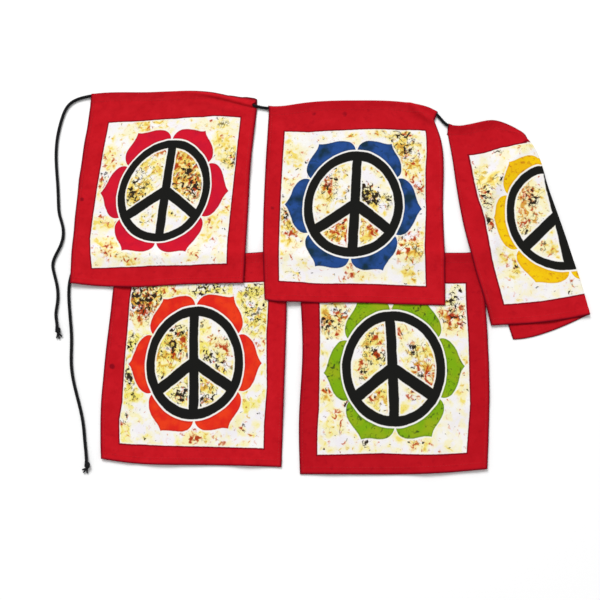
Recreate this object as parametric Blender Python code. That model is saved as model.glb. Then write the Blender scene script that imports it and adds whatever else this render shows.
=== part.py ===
"""Flag bunting: five hemmed cloth flags on one cord, laid out on a table.

The cord runs to the right through flags 1, 2 and 3, turns back inside flag 3,
which is folded over on itself, and returns to the left through flags 4 and 5.
Flags 1, 2 and 3 lie over the upper ends of flags 4 and 5.
The tables are in millimetres, X to the right and Y away from the viewer.
"""

import math

import bmesh
import bpy
import numpy as np

MM = 0.001

CLOTH = 1.0
CORD_RADIUS = 1.9
CORD_SIDES_LEVEL = 2

BORE_RADIUS = 2.5
BORE_SIDES = 10
SLEEVE_RADIUS = BORE_RADIUS + CLOTH
SLEEVE_TAIL = 9.5
SHORTEST_TAIL = 5.5
SLEEVE_STEPS = 5
SLEEVE_SAMPLES = 13

REST_Z = 0.5 * CLOTH
SLEEVE_CORD_Z = SLEEVE_RADIUS
TABLE_CORD_Z = CORD_RADIUS
MOUTH_RAMP = 18.0
MOUTH_MARGIN = 3.0
KNOT_RAMP = 14.0
HEADING_REACH = 3.0
TURN_PROBE = 4.0

CHORD_ERROR = 0.5
LONGEST_STATION = 44.0
SHORTEST_STATION = 5.0
COLUMN_STEP = 18.0
FRONT_COLUMN_STEP = 11.0

SHEET_GAP = 1.9
RIDGE_GAP = 0.7
DRAPE_RUN = 26.0
RIDGE_SHOULDER = 8.0
EDGE_SHOULDER = 7.0
GAP_CORD_RISE = 1.6
LOOSE_CORD_UNDER_FLAG_1 = 115.0
FLAG_4_SHARE_UNDER_FLAG_3 = 0.3

FOLD_RADIUS_TOP = 4.1
FOLD_RADIUS_HEM = 2.8
FOLD_SHOULDER = 5.0
FOLD_SAMPLES = 9
FOLD_ANGLES = (0.0, 45.0, 90.0, 135.0, 180.0)
BEND_SPAN = 3.0
BEND_MARGIN = 2.0

KNOT_SIDES = 12
KNOT_GAP = 0.35
SHARP_ANGLE = 40.0

UP = np.array([0.0, 0.0, 1.0])

RED_DYE = (0.56, 0.010, 0.020)
BLACK_CORD = (0.012, 0.012, 0.014)

# The cord's route: stretch, x, y. A stretch named for a flag lies in that flag's sleeve.
ROUTE = (
    ("loose_1", -307.5, -34.0),
    ("loose_1", -308.5, -24.5),
    ("loose_1", -308.8, -5.0),
    ("loose_1", -310.7, 17.3),
    ("loose_1", -316.1, 35.8),
    ("loose_1", -318.2, 46.5),
    ("loose_1", -315.9, 57.2),
    ("loose_1", -310.8, 69.2),
    ("loose_1", -307.5, 82.8),
    ("loose_1", -309.1, 99.1),
    ("loose_1", -314.0, 114.1),
    ("loose_1", -316.5, 130.6),
    ("loose_1", -318.8, 152.8),
    ("loose_1", -322.1, 178.1),
    ("loose_1", -324.1, 200.7),
    ("loose_1", -323.6, 223.6),
    ("loose_1", -320.3, 245.2),
    ("loose_1", -309.3, 271.5),
    ("flag_1", -283.0, 282.8),
    ("flag_1", -177.0, 286.8),
    ("flag_1", -125.0, 283.8),
    ("gap_1", -59.5, 267.2),
    ("flag_2", -41.8, 264.0),
    ("flag_2", 0.0, 268.6),
    ("flag_2", 80.0, 273.0),
    ("flag_2", 152.0, 268.6),
    ("gap_2", 184.0, 254.6),
    ("flag_3", 199.3, 240.6),
    ("flag_3", 224.0, 238.6),
    ("flag_3", 260.0, 244.6),
    ("flag_3", 286.5, 235.2),
    ("flag_3", 299.2, 218.5),
    ("flag_3", 293.5, 202.0),
    ("gap_3", 236.5, 121.0),
    ("gap_3", 228.5, 101.5),
    ("gap_3", 238.5, 84.5),
    ("gap_3", 250.2, 73.5),
    ("flag_4", 235.0, 62.8),
    ("flag_4", 206.0, 58.8),
    ("flag_4", 70.0, 54.8),
    ("gap_4", 0.5, 55.2),
    ("flag_5", -16.8, 59.4),
    ("flag_5", -60.0, 59.0),
    ("flag_5", -150.0, 58.5),
    ("loose_2", -236.6, 58.9),
    ("loose_2", -262.0, 60.5),
    ("loose_2", -286.5, 47.0),
    ("loose_2", -295.4, 12.0),
    ("loose_2", -294.0, -5.0),
    ("loose_2", -291.0, -27.1),
    ("loose_2", -288.4, -47.7),
    ("loose_2", -287.4, -68.1),
    ("loose_2", -286.4, -83.3),
    ("loose_2", -283.8, -98.4),
    ("loose_2", -278.2, -118.4),
    ("loose_2", -267.1, -157.9),
    ("loose_2", -264.1, -177.3),
    ("loose_2", -259.8, -203.0),
)

# Each flag's edges below the sleeve: x, y. The first side is where the cord comes in.
EDGES = {
    "flag_1": {
        "first_side": ((-284.5, 240.0), (-287.7, 204.5), (-293.5, 106.1), (-294.3, 60.0), (-293.5, 20.8)),
        "last_side": ((-60.8, 232.3), (-64.8, 188.0), (-67.0, 138.9), (-69.8, 68.2), (-71.9, 21.2)),
        "hem": ((-267.6, 19.2), (-236.4, 16.3), (-220.3, 15.9), (-182.9, 17.4), (-126.4, 20.3)),
    },
    "flag_2": {
        "first_side": ((-43.6, 225.0), (-45.2, 190.9), (-48.1, 89.5), (-47.5, 53.0), (-45.3, 1.4)),
        "last_side": ((186.6, 226.0), (189.5, 205.0), (188.6, 134.8), (186.8, 89.5), (185.0, -7.6)),
        "hem": ((0.0, -0.7), (60.0, -3.5), (127.5, -6.5)),
    },
    "flag_3": {
        "first_side": ((201.9, 190.9), (207.5, 134.8), (218.8, 66.4), (241.6, -33.8)),
        "last_side": ((249.0, 108.0), (254.5, 90.0), (258.0, 60.0), (256.5, 13.0), (268.9, -51.2)),
        "hem": ((265.0, -32.6), (313.7, -29.0)),
        "under_hem": ((334.4, -34.0), (305.4, -44.7), (279.0, -50.6)),
    },
    "flag_4": {
        "first_side": ((236.0, 22.4), (236.5, -54.1), (232.7, -142.7), (227.9, -211.8)),
        "last_side": ((0.9, -3.7), (2.8, -73.7), (-1.2, -146.0), (-0.1, -217.8)),
        "hem": ((170.6, -215.7), (130.3, -218.7), (73.1, -218.5)),
    },
    "flag_5": {
        "first_side": ((-17.0, -3.7), (-18.8, -87.5), (-22.5, -209.5)),
        "last_side": ((-238.7, 16.4), (-245.0, -88.2), (-245.5, -166.0), (-242.8, -199.4)),
        "hem": ((-122.1, -208.0), (-183.2, -206.2), (-213.8, -203.8)),
    },
}

# The folded edge of flag 3, from the cord's turn down to the hem: x, y.
FOLD_LINE = (
    (306.0, 217.5),
    (313.5, 202.0),
    (318.8, 186.0),
    (324.0, 160.5),
    (333.5, 123.5),
    (344.0, 84.5),
    (354.4, 42.6),
    (362.6, 8.0),
    (368.0, -19.5),
)

# Which side of the cord a flag's cloth is on, going along it: 1 is right and -1 is left.
CLOTH_SIDE = {"flag_1": 1, "flag_2": 1, "flag_3": 1, "flag_4": -1, "flag_5": -1}

# How far down each flag its rows of faces lie, closer where it passes over a ridge.
ROWS = {
    "flag_1": (0.18, 0.36, 0.54, 0.66, 0.72, 0.76, 0.80, 0.84, 0.88, 0.92, 0.96, 1.0),
    "flag_2": (0.05, 0.12, 0.26, 0.42, 0.57, 0.64, 0.69, 0.73, 0.77, 0.81, 0.85, 0.90, 0.95, 1.0),
    "flag_3": (0.05, 0.09, 0.13, 0.17, 0.21, 0.25, 0.29, 0.33, 0.37, 0.41, 0.45, 0.49, 0.53,
               0.57, 0.61, 0.65, 0.69, 0.74, 0.80, 0.90, 1.0),
    "flag_4": (0.17, 0.33, 0.5, 0.67, 0.83, 1.0),
    "flag_5": (0.17, 0.33, 0.5, 0.67, 0.83, 1.0),
}

# How far the sleeve's top edge stands off the cord: share of the flag's width, distance.
TOP_EDGE = {
    "flag_1": ((0.0, 3.5), (0.55, 3.6), (0.68, 5.6), (0.85, 8.0), (1.0, 12.0)),
    "flag_2": ((0.0, 4.2), (0.1, 3.6), (0.9, 3.6), (1.0, 4.4)),
    "flag_4": ((0.0, 3.6), (1.0, 3.6)),
    "flag_5": ((0.0, 3.6), (1.0, 3.6)),
}

# How flag 3's cloth leaves its sleeve as it turns over: distance from the cord's turn,
# sideways and upward place of the cloth beside the cord, its leaving angle, and the
# sideways and upward place of the sleeve's own folded edge.
TURN_OVER = (
    (-200.0, SLEEVE_TAIL, -3.0, 0.0, -3.6, -2.9),
    (-56.0, SLEEVE_TAIL, -3.0, 0.0, -3.6, -2.9),
    (-36.0, 8.0, 0.5, 5.0, -3.2, -2.9),
    (-20.0, 5.0, 3.6, 0.0, -2.2, -2.9),
    (-8.0, 1.5, 4.4, 0.0, -0.8, -3.3),
    (-3.0, 0.0, 4.5, 0.0, -0.2, -3.4),
    (-1.5, -3.1, 3.2, 45.0, 0.1, -3.4),
    (0.0, -4.5, 0.0, 90.0, 0.5, -3.4),
    (1.5, -4.3, -2.1, 135.0, 1.2, -3.2),
    (3.0, -5.2, -3.0, 180.0, 2.0, -2.9),
    (20.0, -7.0, -3.0, 180.0, 3.6, -2.9),
    (200.0, -7.0, -3.0, 180.0, 3.6, -2.9),
)

# A knot with its short cut end: distance along it, radius, height of its middle above the
# table, and height of the ridges of its wrapped turns.
KNOT_SECTIONS = (
    (0.0, 2.0, 3.9, 0.0),
    (1.0, 3.4, 4.3, 0.2),
    (2.6, 4.2, 5.0, 0.7),
    (4.6, 4.6, 5.6, 0.9),
    (6.8, 4.5, 5.5, 0.9),
    (8.8, 3.9, 4.6, 0.6),
    (10.2, 2.8, 3.3, 0.2),
    (11.4, 2.0, 2.4, 0.0),
    (15.0, 2.1, 2.2, 0.0),
    (18.5, 2.6, 2.7, 0.0),
)
KNOT_TURNS = 1.5
KNOT_STRAIGHT = 4.0

# Which way each knot's cut end points: x, y.
CUT_END = {"knot_1": (0.21, -0.978), "knot_2": (-0.62, -0.785)}


def clear_scene():
    """Take away whatever the file held before."""
    for item in list(bpy.data.objects):
        bpy.data.objects.remove(item, do_unlink=True)


def make_material(name, colour, roughness):
    """Return a plain Principled finish."""
    material = bpy.data.materials.new(name)
    material.use_nodes = True
    shader = material.node_tree.nodes["Principled BSDF"]
    shader.inputs["Base Color"].default_value = (*colour, 1.0)
    shader.inputs["Roughness"].default_value = roughness
    shader.inputs["Metallic"].default_value = 0.0
    return material


def spline_second_derivatives(knots, values):
    """Return the second derivatives of the natural cubic spline through the values."""
    count = len(knots)
    steps = np.diff(knots)
    matrix = np.eye(count)
    right = np.zeros_like(values)
    for row in range(1, count - 1):
        matrix[row, row - 1] = steps[row - 1]
        matrix[row, row] = 2.0 * (steps[row - 1] + steps[row])
        matrix[row, row + 1] = steps[row]
        after = (values[row + 1] - values[row]) / steps[row]
        before = (values[row] - values[row - 1]) / steps[row - 1]
        right[row] = 6.0 * (after - before)
    return np.linalg.solve(matrix, right)


def smooth_curve(points):
    """Return the knots of a smooth curve through the points, and a function that reads it."""
    values = np.array(points, dtype=float)
    lengths = np.linalg.norm(np.diff(values, axis=0), axis=1)
    knots = np.concatenate([[0.0], np.cumsum(lengths)])
    bends = spline_second_derivatives(knots, values)

    def read(where):
        cell = int(np.clip(np.searchsorted(knots, where) - 1, 0, len(knots) - 2))
        step = knots[cell + 1] - knots[cell]
        a = (knots[cell + 1] - where) / step
        b = 1.0 - a
        line = a * values[cell] + b * values[cell + 1]
        curl = (a**3 - a) * bends[cell] + (b**3 - b) * bends[cell + 1]
        return line + curl * step * step / 6.0

    return knots, read


def read_edge(points, share):
    """Return the point at a share of the way along a smooth curve through the points."""
    knots, read = smooth_curve(points)
    return read(share * knots[-1])


def edge_reader(points):
    """Return a function that reads a smooth curve by the share of the way along it."""
    return lambda share: read_edge(points, share)


def line_reader(shares, points):
    """Return a function that reads straight lines between points with given shares."""
    columns = np.array(points).T
    return lambda share: np.array([np.interp(share, shares, column) for column in columns])


def ease(value):
    """Return 0 below 0, 1 above 1 and a smooth step between."""
    value = min(1.0, max(0.0, value))
    return value * value * (3.0 - 2.0 * value)


def stations_between(read, start, end):
    """Return places along the route, closer together where it bends."""
    places = [start]
    while places[-1] < end - 1e-6:
        here = places[-1]
        ahead = [read(min(here + TURN_PROBE * step, end)) for step in range(3)]
        chord_1 = ahead[1] - ahead[0]
        chord_2 = ahead[2] - ahead[1]
        turn = abs(math.atan2(chord_1[0] * chord_2[1] - chord_1[1] * chord_2[0], chord_1 @ chord_2))
        length = max(np.linalg.norm(chord_1), 1e-6)
        radius = length / max(turn, 1e-4)
        step = min(LONGEST_STATION, max(SHORTEST_STATION, math.sqrt(8.0 * radius * CHORD_ERROR)))
        places.append(here + step)
    stretch = (end - start) / (places[-1] - start)
    return [start + (place - start) * stretch for place in places]


def make_route():
    """Return the cord's points, the stretch each belongs to, and its length up to each."""
    knots, read = smooth_curve([(x, y) for _, x, y in ROUTE])
    names = [row[0] for row in ROUTE]
    points = []
    stretches = []
    for name in dict.fromkeys(names):
        first = names.index(name)
        last = min(first + names.count(name), len(names) - 1)
        for place in stations_between(read, knots[first], knots[last])[:-1]:
            points.append(read(place))
            stretches.append(name)
    points.append(read(knots[-1]))
    stretches.append(names[-1])
    points = np.array(points)
    lengths = np.concatenate([[0.0], np.cumsum(np.linalg.norm(np.diff(points, axis=0), axis=1))])
    return points, stretches, lengths


def cord_heights(stretches, lengths):
    """Return the height of the cord's centre at each of its points."""
    in_sleeve = [name.startswith("flag") for name in stretches]
    mouths = [lengths[i] for i in range(1, len(stretches)) if in_sleeve[i] != in_sleeve[i - 1]]
    heights = []
    for inside, length in zip(in_sleeve, lengths):
        near = min(abs(length - mouth) for mouth in mouths)
        if inside or near < 1e-6:
            heights.append(SLEEVE_CORD_Z)
            continue
        rise = (SLEEVE_CORD_Z - TABLE_CORD_Z) * (1.0 - ease(near / MOUTH_RAMP))
        knot_near = min(length, lengths[-1] - length)
        knot_rise = (KNOT_SECTIONS[0][2] - TABLE_CORD_Z) * (1.0 - ease(knot_near / KNOT_RAMP))
        heights.append(TABLE_CORD_Z + max(rise, knot_rise))
    return heights


class Cord:
    """The cord's line, with the places where each flag's sleeve starts and ends."""

    def __init__(self):
        self.plan, self.stretches, self.lengths = make_route()
        self.heights = cord_heights(self.stretches, self.lengths)

    def sleeve(self, flag):
        """Return where along the cord a flag's sleeve starts and ends."""
        first = self.stretches.index(flag)
        last = first + self.stretches.count(flag)
        return self.lengths[first], self.lengths[last]

    def at(self, length):
        """Return the plan point at a length along the cord."""
        x = np.interp(length, self.lengths, self.plan[:, 0])
        y = np.interp(length, self.lengths, self.plan[:, 1])
        return np.array([x, y])

    def heading(self, length):
        """Return the cord's direction in plan, smoothed over its corners."""
        step = self.at(length + HEADING_REACH) - self.at(length - HEADING_REACH)
        return step / np.linalg.norm(step)

    def aside(self, place, flag):
        """Return the way to the right of the cord at a place in a flag's sleeve."""
        start, end = self.sleeve(flag)
        heading = self.heading(min(max(place, start + MOUTH_MARGIN), end - MOUTH_MARGIN))
        return np.array([heading[1], -heading[0], 0.0])

    def columns(self, flag, step):
        """Return the lengths along the cord at which a flag has its columns of faces."""
        start, end = self.sleeve(flag)
        stops = [length for length in self.lengths if start - 1e-6 <= length <= end + 1e-6]
        places = []
        for here, there in zip(stops, stops[1:]):
            parts = max(1, math.ceil((there - here) / step))
            places += [here + (there - here) * part / parts for part in range(parts)]
        return places + [end]


def teardrop(angle, tip_angle, tip_distance):
    """Return how far the sleeve's circle drawn out to a tip reaches at an angle."""
    if tip_distance <= SLEEVE_RADIUS:
        return SLEEVE_RADIUS
    tangent = math.acos(SLEEVE_RADIUS / tip_distance)
    off_tip = abs((angle - tip_angle + math.pi) % (2.0 * math.pi) - math.pi)
    if off_tip >= tangent:
        return SLEEVE_RADIUS
    return SLEEVE_RADIUS / math.cos(tangent - off_tip)


def polar(point):
    """Return the angle and distance of a point of a section."""
    return math.atan2(point[1], point[0]), math.hypot(*point)


def sleeve_section(tail, leaving, edge):
    """Return the sleeve's outline around the cord, as sideways and upward places.

    The tail is where the cloth leaves the sleeve, and the edge is the sleeve's own fold.
    The outline runs from the cloth's face side at the tail, round the cord, to its back side.
    """
    tail_angle, tail_distance = polar(tail)
    edge_angle, edge_distance = polar(edge)
    if tail_angle < -0.5 * math.pi:
        tail_angle += 2.0 * math.pi
    if edge_angle < tail_angle:
        edge_angle += 2.0 * math.pi
    full_turn = tail_angle + 2.0 * math.pi
    angles = [*np.linspace(tail_angle, edge_angle, SLEEVE_STEPS + 1)[1:],
              *np.linspace(edge_angle, full_turn, SLEEVE_STEPS + 1)[1:-1]]
    face = np.array([-math.sin(leaving), math.cos(leaving)])
    outline = [np.array(tail) + face * REST_Z]
    for angle in angles:
        reach = max(teardrop(angle, tail_angle, tail_distance),
                    teardrop(angle, edge_angle, edge_distance))
        outline.append(np.array([math.cos(angle), math.sin(angle)]) * reach)
    outline.append(np.array(tail) - face * REST_Z)
    return outline


def bore_section():
    """Return the outline of the channel that the cord runs in."""
    angles = [2.0 * math.pi * k / BORE_SIDES for k in range(BORE_SIDES)]
    return [np.array([math.cos(angle), math.sin(angle)]) * BORE_RADIUS for angle in angles]


def read_table(table, where):
    """Return a table's other columns at a value of its first, read between its rows."""
    first, *others = zip(*table)
    return [float(np.interp(where, first, column)) for column in others]


def distance_to_line(point, line):
    """Return the plan distance from a point to a line of points."""
    best = float("inf")
    for a, b in zip(line, line[1:]):
        along = b - a
        share = np.clip((point - a) @ along / max(along @ along, 1e-9), 0.0, 1.0)
        best = min(best, float(np.linalg.norm(point - a - share * along)))
    return best


def inside_outline(point, outline):
    """Tell whether a point lies inside a closed outline."""
    inside = False
    for a, b in zip(outline, np.roll(outline, -1, axis=0)):
        if (a[1] > point[1]) != (b[1] > point[1]):
            cross = a[0] + (point[1] - a[1]) / (b[1] - a[1]) * (b[0] - a[0])
            inside ^= bool(point[0] < cross)
    return inside


class Beneath:
    """What an upper flag lies on: sheets and ridges, with the height that each lifts it."""

    def __init__(self):
        self.sheets = []
        self.ridges = []

    def add_sheet(self, outline):
        """Add a flat sheet of cloth with this outline."""
        self.sheets.append(np.array(outline))

    def add_ridge(self, line, top, half_width):
        """Add a ridge, such as a cord, along a line."""
        self.ridges.append((np.array(line), top + RIDGE_GAP, half_width + RIDGE_SHOULDER))

    def lift(self, point):
        """Return how high a sheet's lower face is carried at a plan point."""
        heights = [0.0]
        for outline in self.sheets:
            away = 0.0
            if not inside_outline(point, outline):
                away = distance_to_line(point, np.vstack([outline, outline[:1]]))
            fall = 1.0 - ease((away - EDGE_SHOULDER) / DRAPE_RUN)
            heights.append((CLOTH + SHEET_GAP) * fall)
        for line, height, shoulder in self.ridges:
            away = distance_to_line(point, line)
            heights.append(height * (1.0 - ease((away - shoulder) / DRAPE_RUN)))
        return max(heights)


def coons_point(top, hem, first_side, last_side, across, down):
    """Return the point of the patch between four edges."""
    top_point = top(across)
    hem_point = hem(across)
    ruled = (1.0 - down) * top_point + down * hem_point
    sides = (1.0 - across) * first_side(down) + across * last_side(down)
    start = (1.0 - down) * top(0.0) + down * hem(0.0)
    end = (1.0 - down) * top(1.0) + down * hem(1.0)
    return ruled + sides - (1.0 - across) * start - across * end


def grid_normals(grid):
    """Return the unit normals of a grid of points, indexed by column and row."""
    along = np.gradient(grid, axis=0)
    down = np.gradient(grid, axis=1)
    normals = np.cross(down, along)
    return normals / np.linalg.norm(normals, axis=2, keepdims=True)


def close_mouth(mesh, outer, bore, outline):
    """Fill the ring between a sleeve's outline and its channel, in order of angle."""
    angles = np.unwrap([polar(point)[0] for point in outline])
    turns = [("outer", angle, k) for k, angle in enumerate(angles) if k > 0]
    turns.append(("outer", angles[0] + 2.0 * math.pi, 0))
    for k in range(BORE_SIDES):
        angle = 2.0 * math.pi * k / BORE_SIDES
        turns.append(("bore", angles[0] + (angle - angles[0]) % (2.0 * math.pi), k))
    turns.sort(key=lambda turn: turn[1])
    outer_now = outer[0]
    bore_now = bore[[turn[2] for turn in turns if turn[0] == "bore"][-1]]
    for kind, _, k in turns:
        if kind == "outer":
            mesh.faces.new((outer_now, outer[k], bore_now))
            outer_now = outer[k]
        else:
            mesh.faces.new((outer_now, bore[k], bore_now))
            bore_now = bore[k]


def flag_solid(name, centres, sideways, sections, rows, facing):
    """Return a flag's solid from its sleeve sections and the rows of its sheet."""
    mesh = bmesh.new()
    columns = len(centres)
    outer = []
    inner = []
    tails = []
    for centre, side, outline in zip(centres, sideways, sections):
        def place(points):
            return [centre + side * n + UP * b for n, b in points]
        around = place(outline)
        tails.append(0.5 * (around[0] + around[-1]))
        outer.append([mesh.verts.new(point * MM) for point in around])
        inner.append([mesh.verts.new(point * MM) for point in place(bore_section())])
    grid = np.concatenate([np.array(tails)[:, None, :], np.array(rows)], axis=1)
    normals = grid_normals(grid) * facing
    face = []
    back = []
    for i in range(columns):
        half = normals[i] * REST_Z
        face.append([outer[i][0]] + [mesh.verts.new(p * MM) for p in (grid[i] + half)[1:]])
        back.append([outer[i][-1]] + [mesh.verts.new(p * MM) for p in (grid[i] - half)[1:]])
    ring = len(outer[0])
    last_row = grid.shape[1] - 1
    for i in range(columns - 1):
        for k in range(ring - 1):
            mesh.faces.new((outer[i][k], outer[i + 1][k], outer[i + 1][k + 1], outer[i][k + 1]))
        for k in range(BORE_SIDES):
            n = (k + 1) % BORE_SIDES
            mesh.faces.new((inner[i][k], inner[i + 1][k], inner[i + 1][n], inner[i][n]))
        for side in (face, back):
            for j in range(last_row):
                mesh.faces.new((side[i][j], side[i + 1][j], side[i + 1][j + 1], side[i][j + 1]))
        mesh.faces.new((face[i][-1], face[i + 1][-1], back[i + 1][-1], back[i][-1]))
    for i in (0, columns - 1):
        for j in range(last_row):
            mesh.faces.new((face[i][j], face[i][j + 1], back[i][j + 1], back[i][j]))
        close_mouth(mesh, outer[i], inner[i], sections[i])
    bmesh.ops.recalc_face_normals(mesh, faces=mesh.faces)
    return finish_mesh(name, mesh, "dyed_cotton")


def finish_mesh(name, mesh, material):
    """Turn a bmesh into a named object with a finish and smooth shading."""
    data = bpy.data.meshes.new(name)
    mesh.to_mesh(data)
    mesh.free()
    data.shade_smooth()
    data.set_sharp_from_angle(angle=math.radians(SHARP_ANGLE))
    data.materials.append(bpy.data.materials[material])
    item = bpy.data.objects.new(name, data)
    bpy.context.scene.collection.objects.link(item)
    return item


def flat_flag(name, cord, beneath):
    """Make a flag that lies with its face up, over whatever is beneath it."""
    start, end = cord.sleeve(name)
    side = CLOTH_SIDE[name]
    places = cord.columns(name, COLUMN_STEP)
    shares = [(place - start) / (end - start) for place in places]
    centres = []
    sideways = []
    sections = []
    for place, share in zip(places, shares):
        sideways.append(cord.aside(place, name) * side)
        centres.append(np.array([*cord.at(place), SLEEVE_CORD_Z]))
        edge = read_table(TOP_EDGE[name], share)[0]
        tail = max(SHORTEST_TAIL, SLEEVE_TAIL + SLEEVE_RADIUS - edge)
        low = REST_Z - SLEEVE_CORD_Z
        sections.append(sleeve_section((tail, low), 0.0, (-edge, low + 0.1)))
    tails = [(c + s * outline[0][0])[:2] for c, s, outline in zip(centres, sideways, sections)]
    edges = EDGES[name]
    top = line_reader(shares, tails)
    first = edge_reader([tails[0], *edges["first_side"]])
    last = edge_reader([tails[-1], *edges["last_side"]])
    hem = edge_reader([edges["first_side"][-1], *edges["hem"], edges["last_side"][-1]])
    rows = []
    for share in shares:
        column = []
        for down in ROWS[name]:
            plan = coons_point(top, hem, first, last, share, down)
            column.append(np.array([*plan, REST_Z + beneath.lift(plan)]))
        rows.append(column)
    return flag_solid(name, centres, sideways, sections, rows, side)


def flag_outline(name, cord):
    """Return the plan outline of a flag's sheet, from its sleeve to its hem."""
    start, end = cord.sleeve(name)
    edges = EDGES[name]
    shares = np.linspace(0.0, 1.0, SLEEVE_SAMPLES)
    top = [cord.at(start + (end - start) * share) for share in shares]
    return [*top, *edges["last_side"], *reversed(edges["hem"]), *reversed(edges["first_side"])]


def sleeve_line(name, cord, start_share=0.0, end_share=1.0):
    """Return the line of the cord inside a flag's sleeve, or in a part of it."""
    start, end = cord.sleeve(name)
    shares = np.linspace(start_share, end_share, SLEEVE_SAMPLES)
    return [cord.at(start + (end - start) * share) for share in shares]


def stretch_line(name, cord, longest=float("inf")):
    """Return the line of a free stretch of the cord, or the start of it."""
    first = cord.stretches.index(name)
    last = min(first + cord.stretches.count(name), len(cord.plan) - 1)
    reach = cord.lengths[first] + longest
    return [cord.plan[k] for k in range(first, last + 1) if cord.lengths[k] <= reach]


def folded_flag(name, cord):
    """Make flag 3: its front, its rounded folded edge and the part turned under."""
    start, end = cord.sleeve(name)
    edges = EDGES[name]
    turn = min(cord.lengths, key=lambda length: np.linalg.norm(cord.at(length) - FOLD_LINE[0]))
    places = cord.columns(name, FRONT_COLUMN_STEP)
    bend = [turn + BEND_SPAN * (angle / 90.0 - 1.0) for angle in FOLD_ANGLES]
    front = [place for place in places if place < bend[0] - BEND_MARGIN]
    under = [place for place in places if place > bend[-1] + BEND_MARGIN]
    places = front + bend + under

    centres = []
    sideways = []
    sections = []
    for place in places:
        sideways.append(cord.aside(place, name))
        centres.append(np.array([*cord.at(place), SLEEVE_CORD_Z]))
        tail_n, tail_b, leaving, edge_n, edge_b = read_table(TURN_OVER, place - turn)
        sections.append(sleeve_section((tail_n, tail_b), math.radians(leaving), (edge_n, edge_b)))
    tails = []
    for centre, side, outline in zip(centres, sideways, sections):
        middle = 0.5 * (outline[0] + outline[-1])
        tails.append((centre + side * middle[0])[:2])

    def fold_radius(down):
        return FOLD_RADIUS_TOP + (FOLD_RADIUS_HEM - FOLD_RADIUS_TOP) * down

    def fold_point(down, inset):
        here = read_edge(FOLD_LINE, down)
        before = read_edge(FOLD_LINE, max(0.0, down - 0.02))
        after = read_edge(FOLD_LINE, min(1.0, down + 0.02))
        along = (after - before) / np.linalg.norm(after - before)
        outward = np.array([-along[1], along[0]])
        return here - outward * (inset + REST_Z), outward

    beneath = Beneath()
    under_sheet = [fold_point(down, 0.0)[0] for down in np.linspace(0.0, 1.0, FOLD_SAMPLES)]
    under_sheet += [np.array(point) for point in edges["under_hem"]]
    under_sheet += [np.array(point) for point in reversed(edges["last_side"])]
    beneath.add_sheet(under_sheet + [cord.at(end), cord.at(turn)])
    beneath.add_sheet(flag_outline("flag_4", cord))
    under_sleeve = sleeve_line(name, cord, (turn - start) / (end - start))
    flag_4_sleeve = sleeve_line("flag_4", cord, 0.0, FLAG_4_SHARE_UNDER_FLAG_3)
    beneath.add_ridge(under_sleeve, 2.0 * SLEEVE_RADIUS, SLEEVE_RADIUS)
    beneath.add_ridge(stretch_line("gap_3", cord), 2.0 * CORD_RADIUS + GAP_CORD_RISE, CORD_RADIUS)
    beneath.add_ridge(flag_4_sleeve, 2.0 * SLEEVE_RADIUS, SLEEVE_RADIUS)

    def front_height(plan, down):
        near = distance_to_line(plan, np.array(FOLD_LINE))
        fold_top = 2.0 * fold_radius(down) * (1.0 - ease((near - FOLD_SHOULDER) / DRAPE_RUN))
        return REST_Z + max(beneath.lift(plan), fold_top)

    def patch(part, first, last, hem, height):
        part_tails = [tails[places.index(place)] for place in part]
        shares = [(place - part[0]) / (part[-1] - part[0]) for place in part]
        top = line_reader(shares, part_tails)
        columns = []
        for share in shares:
            column = []
            for down in ROWS[name]:
                plan = coons_point(top, hem, first, last, share, down)
                column.append(np.array([*plan, height(plan, down)]))
            columns.append(column)
        return columns

    corner = fold_point(1.0, FOLD_RADIUS_HEM)[0]
    hem_line = edge_reader([edges["first_side"][-1], *edges["hem"], corner])
    under_line = edge_reader([corner, *edges["under_hem"], edges["last_side"][-1]])
    first_line = edge_reader([tails[0], *edges["first_side"]])
    last_line = edge_reader([tails[-1], *edges["last_side"]])

    def fold_side(tail):
        def read(down):
            point = fold_point(max(down, ROWS[name][0]), fold_radius(down))[0]
            return tail if down < 1e-6 else point
        return read

    front_part = front + bend[:1]
    front_side = fold_side(tails[len(front)])
    front_rows = patch(front_part, first_line, front_side, hem_line, front_height)[:-1]
    under_part = bend[-1:] + under
    under_side = fold_side(tails[len(front) + len(bend) - 1])
    under_rows = patch(under_part, under_side, last_line, under_line, lambda plan, down: REST_Z)[1:]
    bend_rows = []
    for angle in FOLD_ANGLES:
        column = []
        for down in ROWS[name]:
            radius = fold_radius(down)
            centre, outward = fold_point(down, radius)
            plan = centre + outward * radius * math.sin(math.radians(angle))
            height = REST_Z + radius * (1.0 + math.cos(math.radians(angle)))
            column.append(np.array([*plan, height]))
        bend_rows.append(column)
    rows = front_rows + bend_rows + under_rows
    return flag_solid(name, centres, sideways, sections, rows, 1)


def make_cord(cord):
    """Make the cord as one tube along its whole route."""
    curve = bpy.data.curves.new("cord", "CURVE")
    curve.dimensions = "3D"
    curve.bevel_depth = CORD_RADIUS * MM
    curve.bevel_resolution = CORD_SIDES_LEVEL
    curve.use_fill_caps = True
    line = curve.splines.new("POLY")
    line.points.add(len(cord.plan) - 1)
    for point, (x, y), z in zip(line.points, cord.plan, cord.heights):
        point.co = (x * MM, y * MM, z * MM, 1.0)
    curve.materials.append(bpy.data.materials["black_cord"])
    item = bpy.data.objects.new("cord", curve)
    bpy.context.scene.collection.objects.link(item)
    return item


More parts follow.
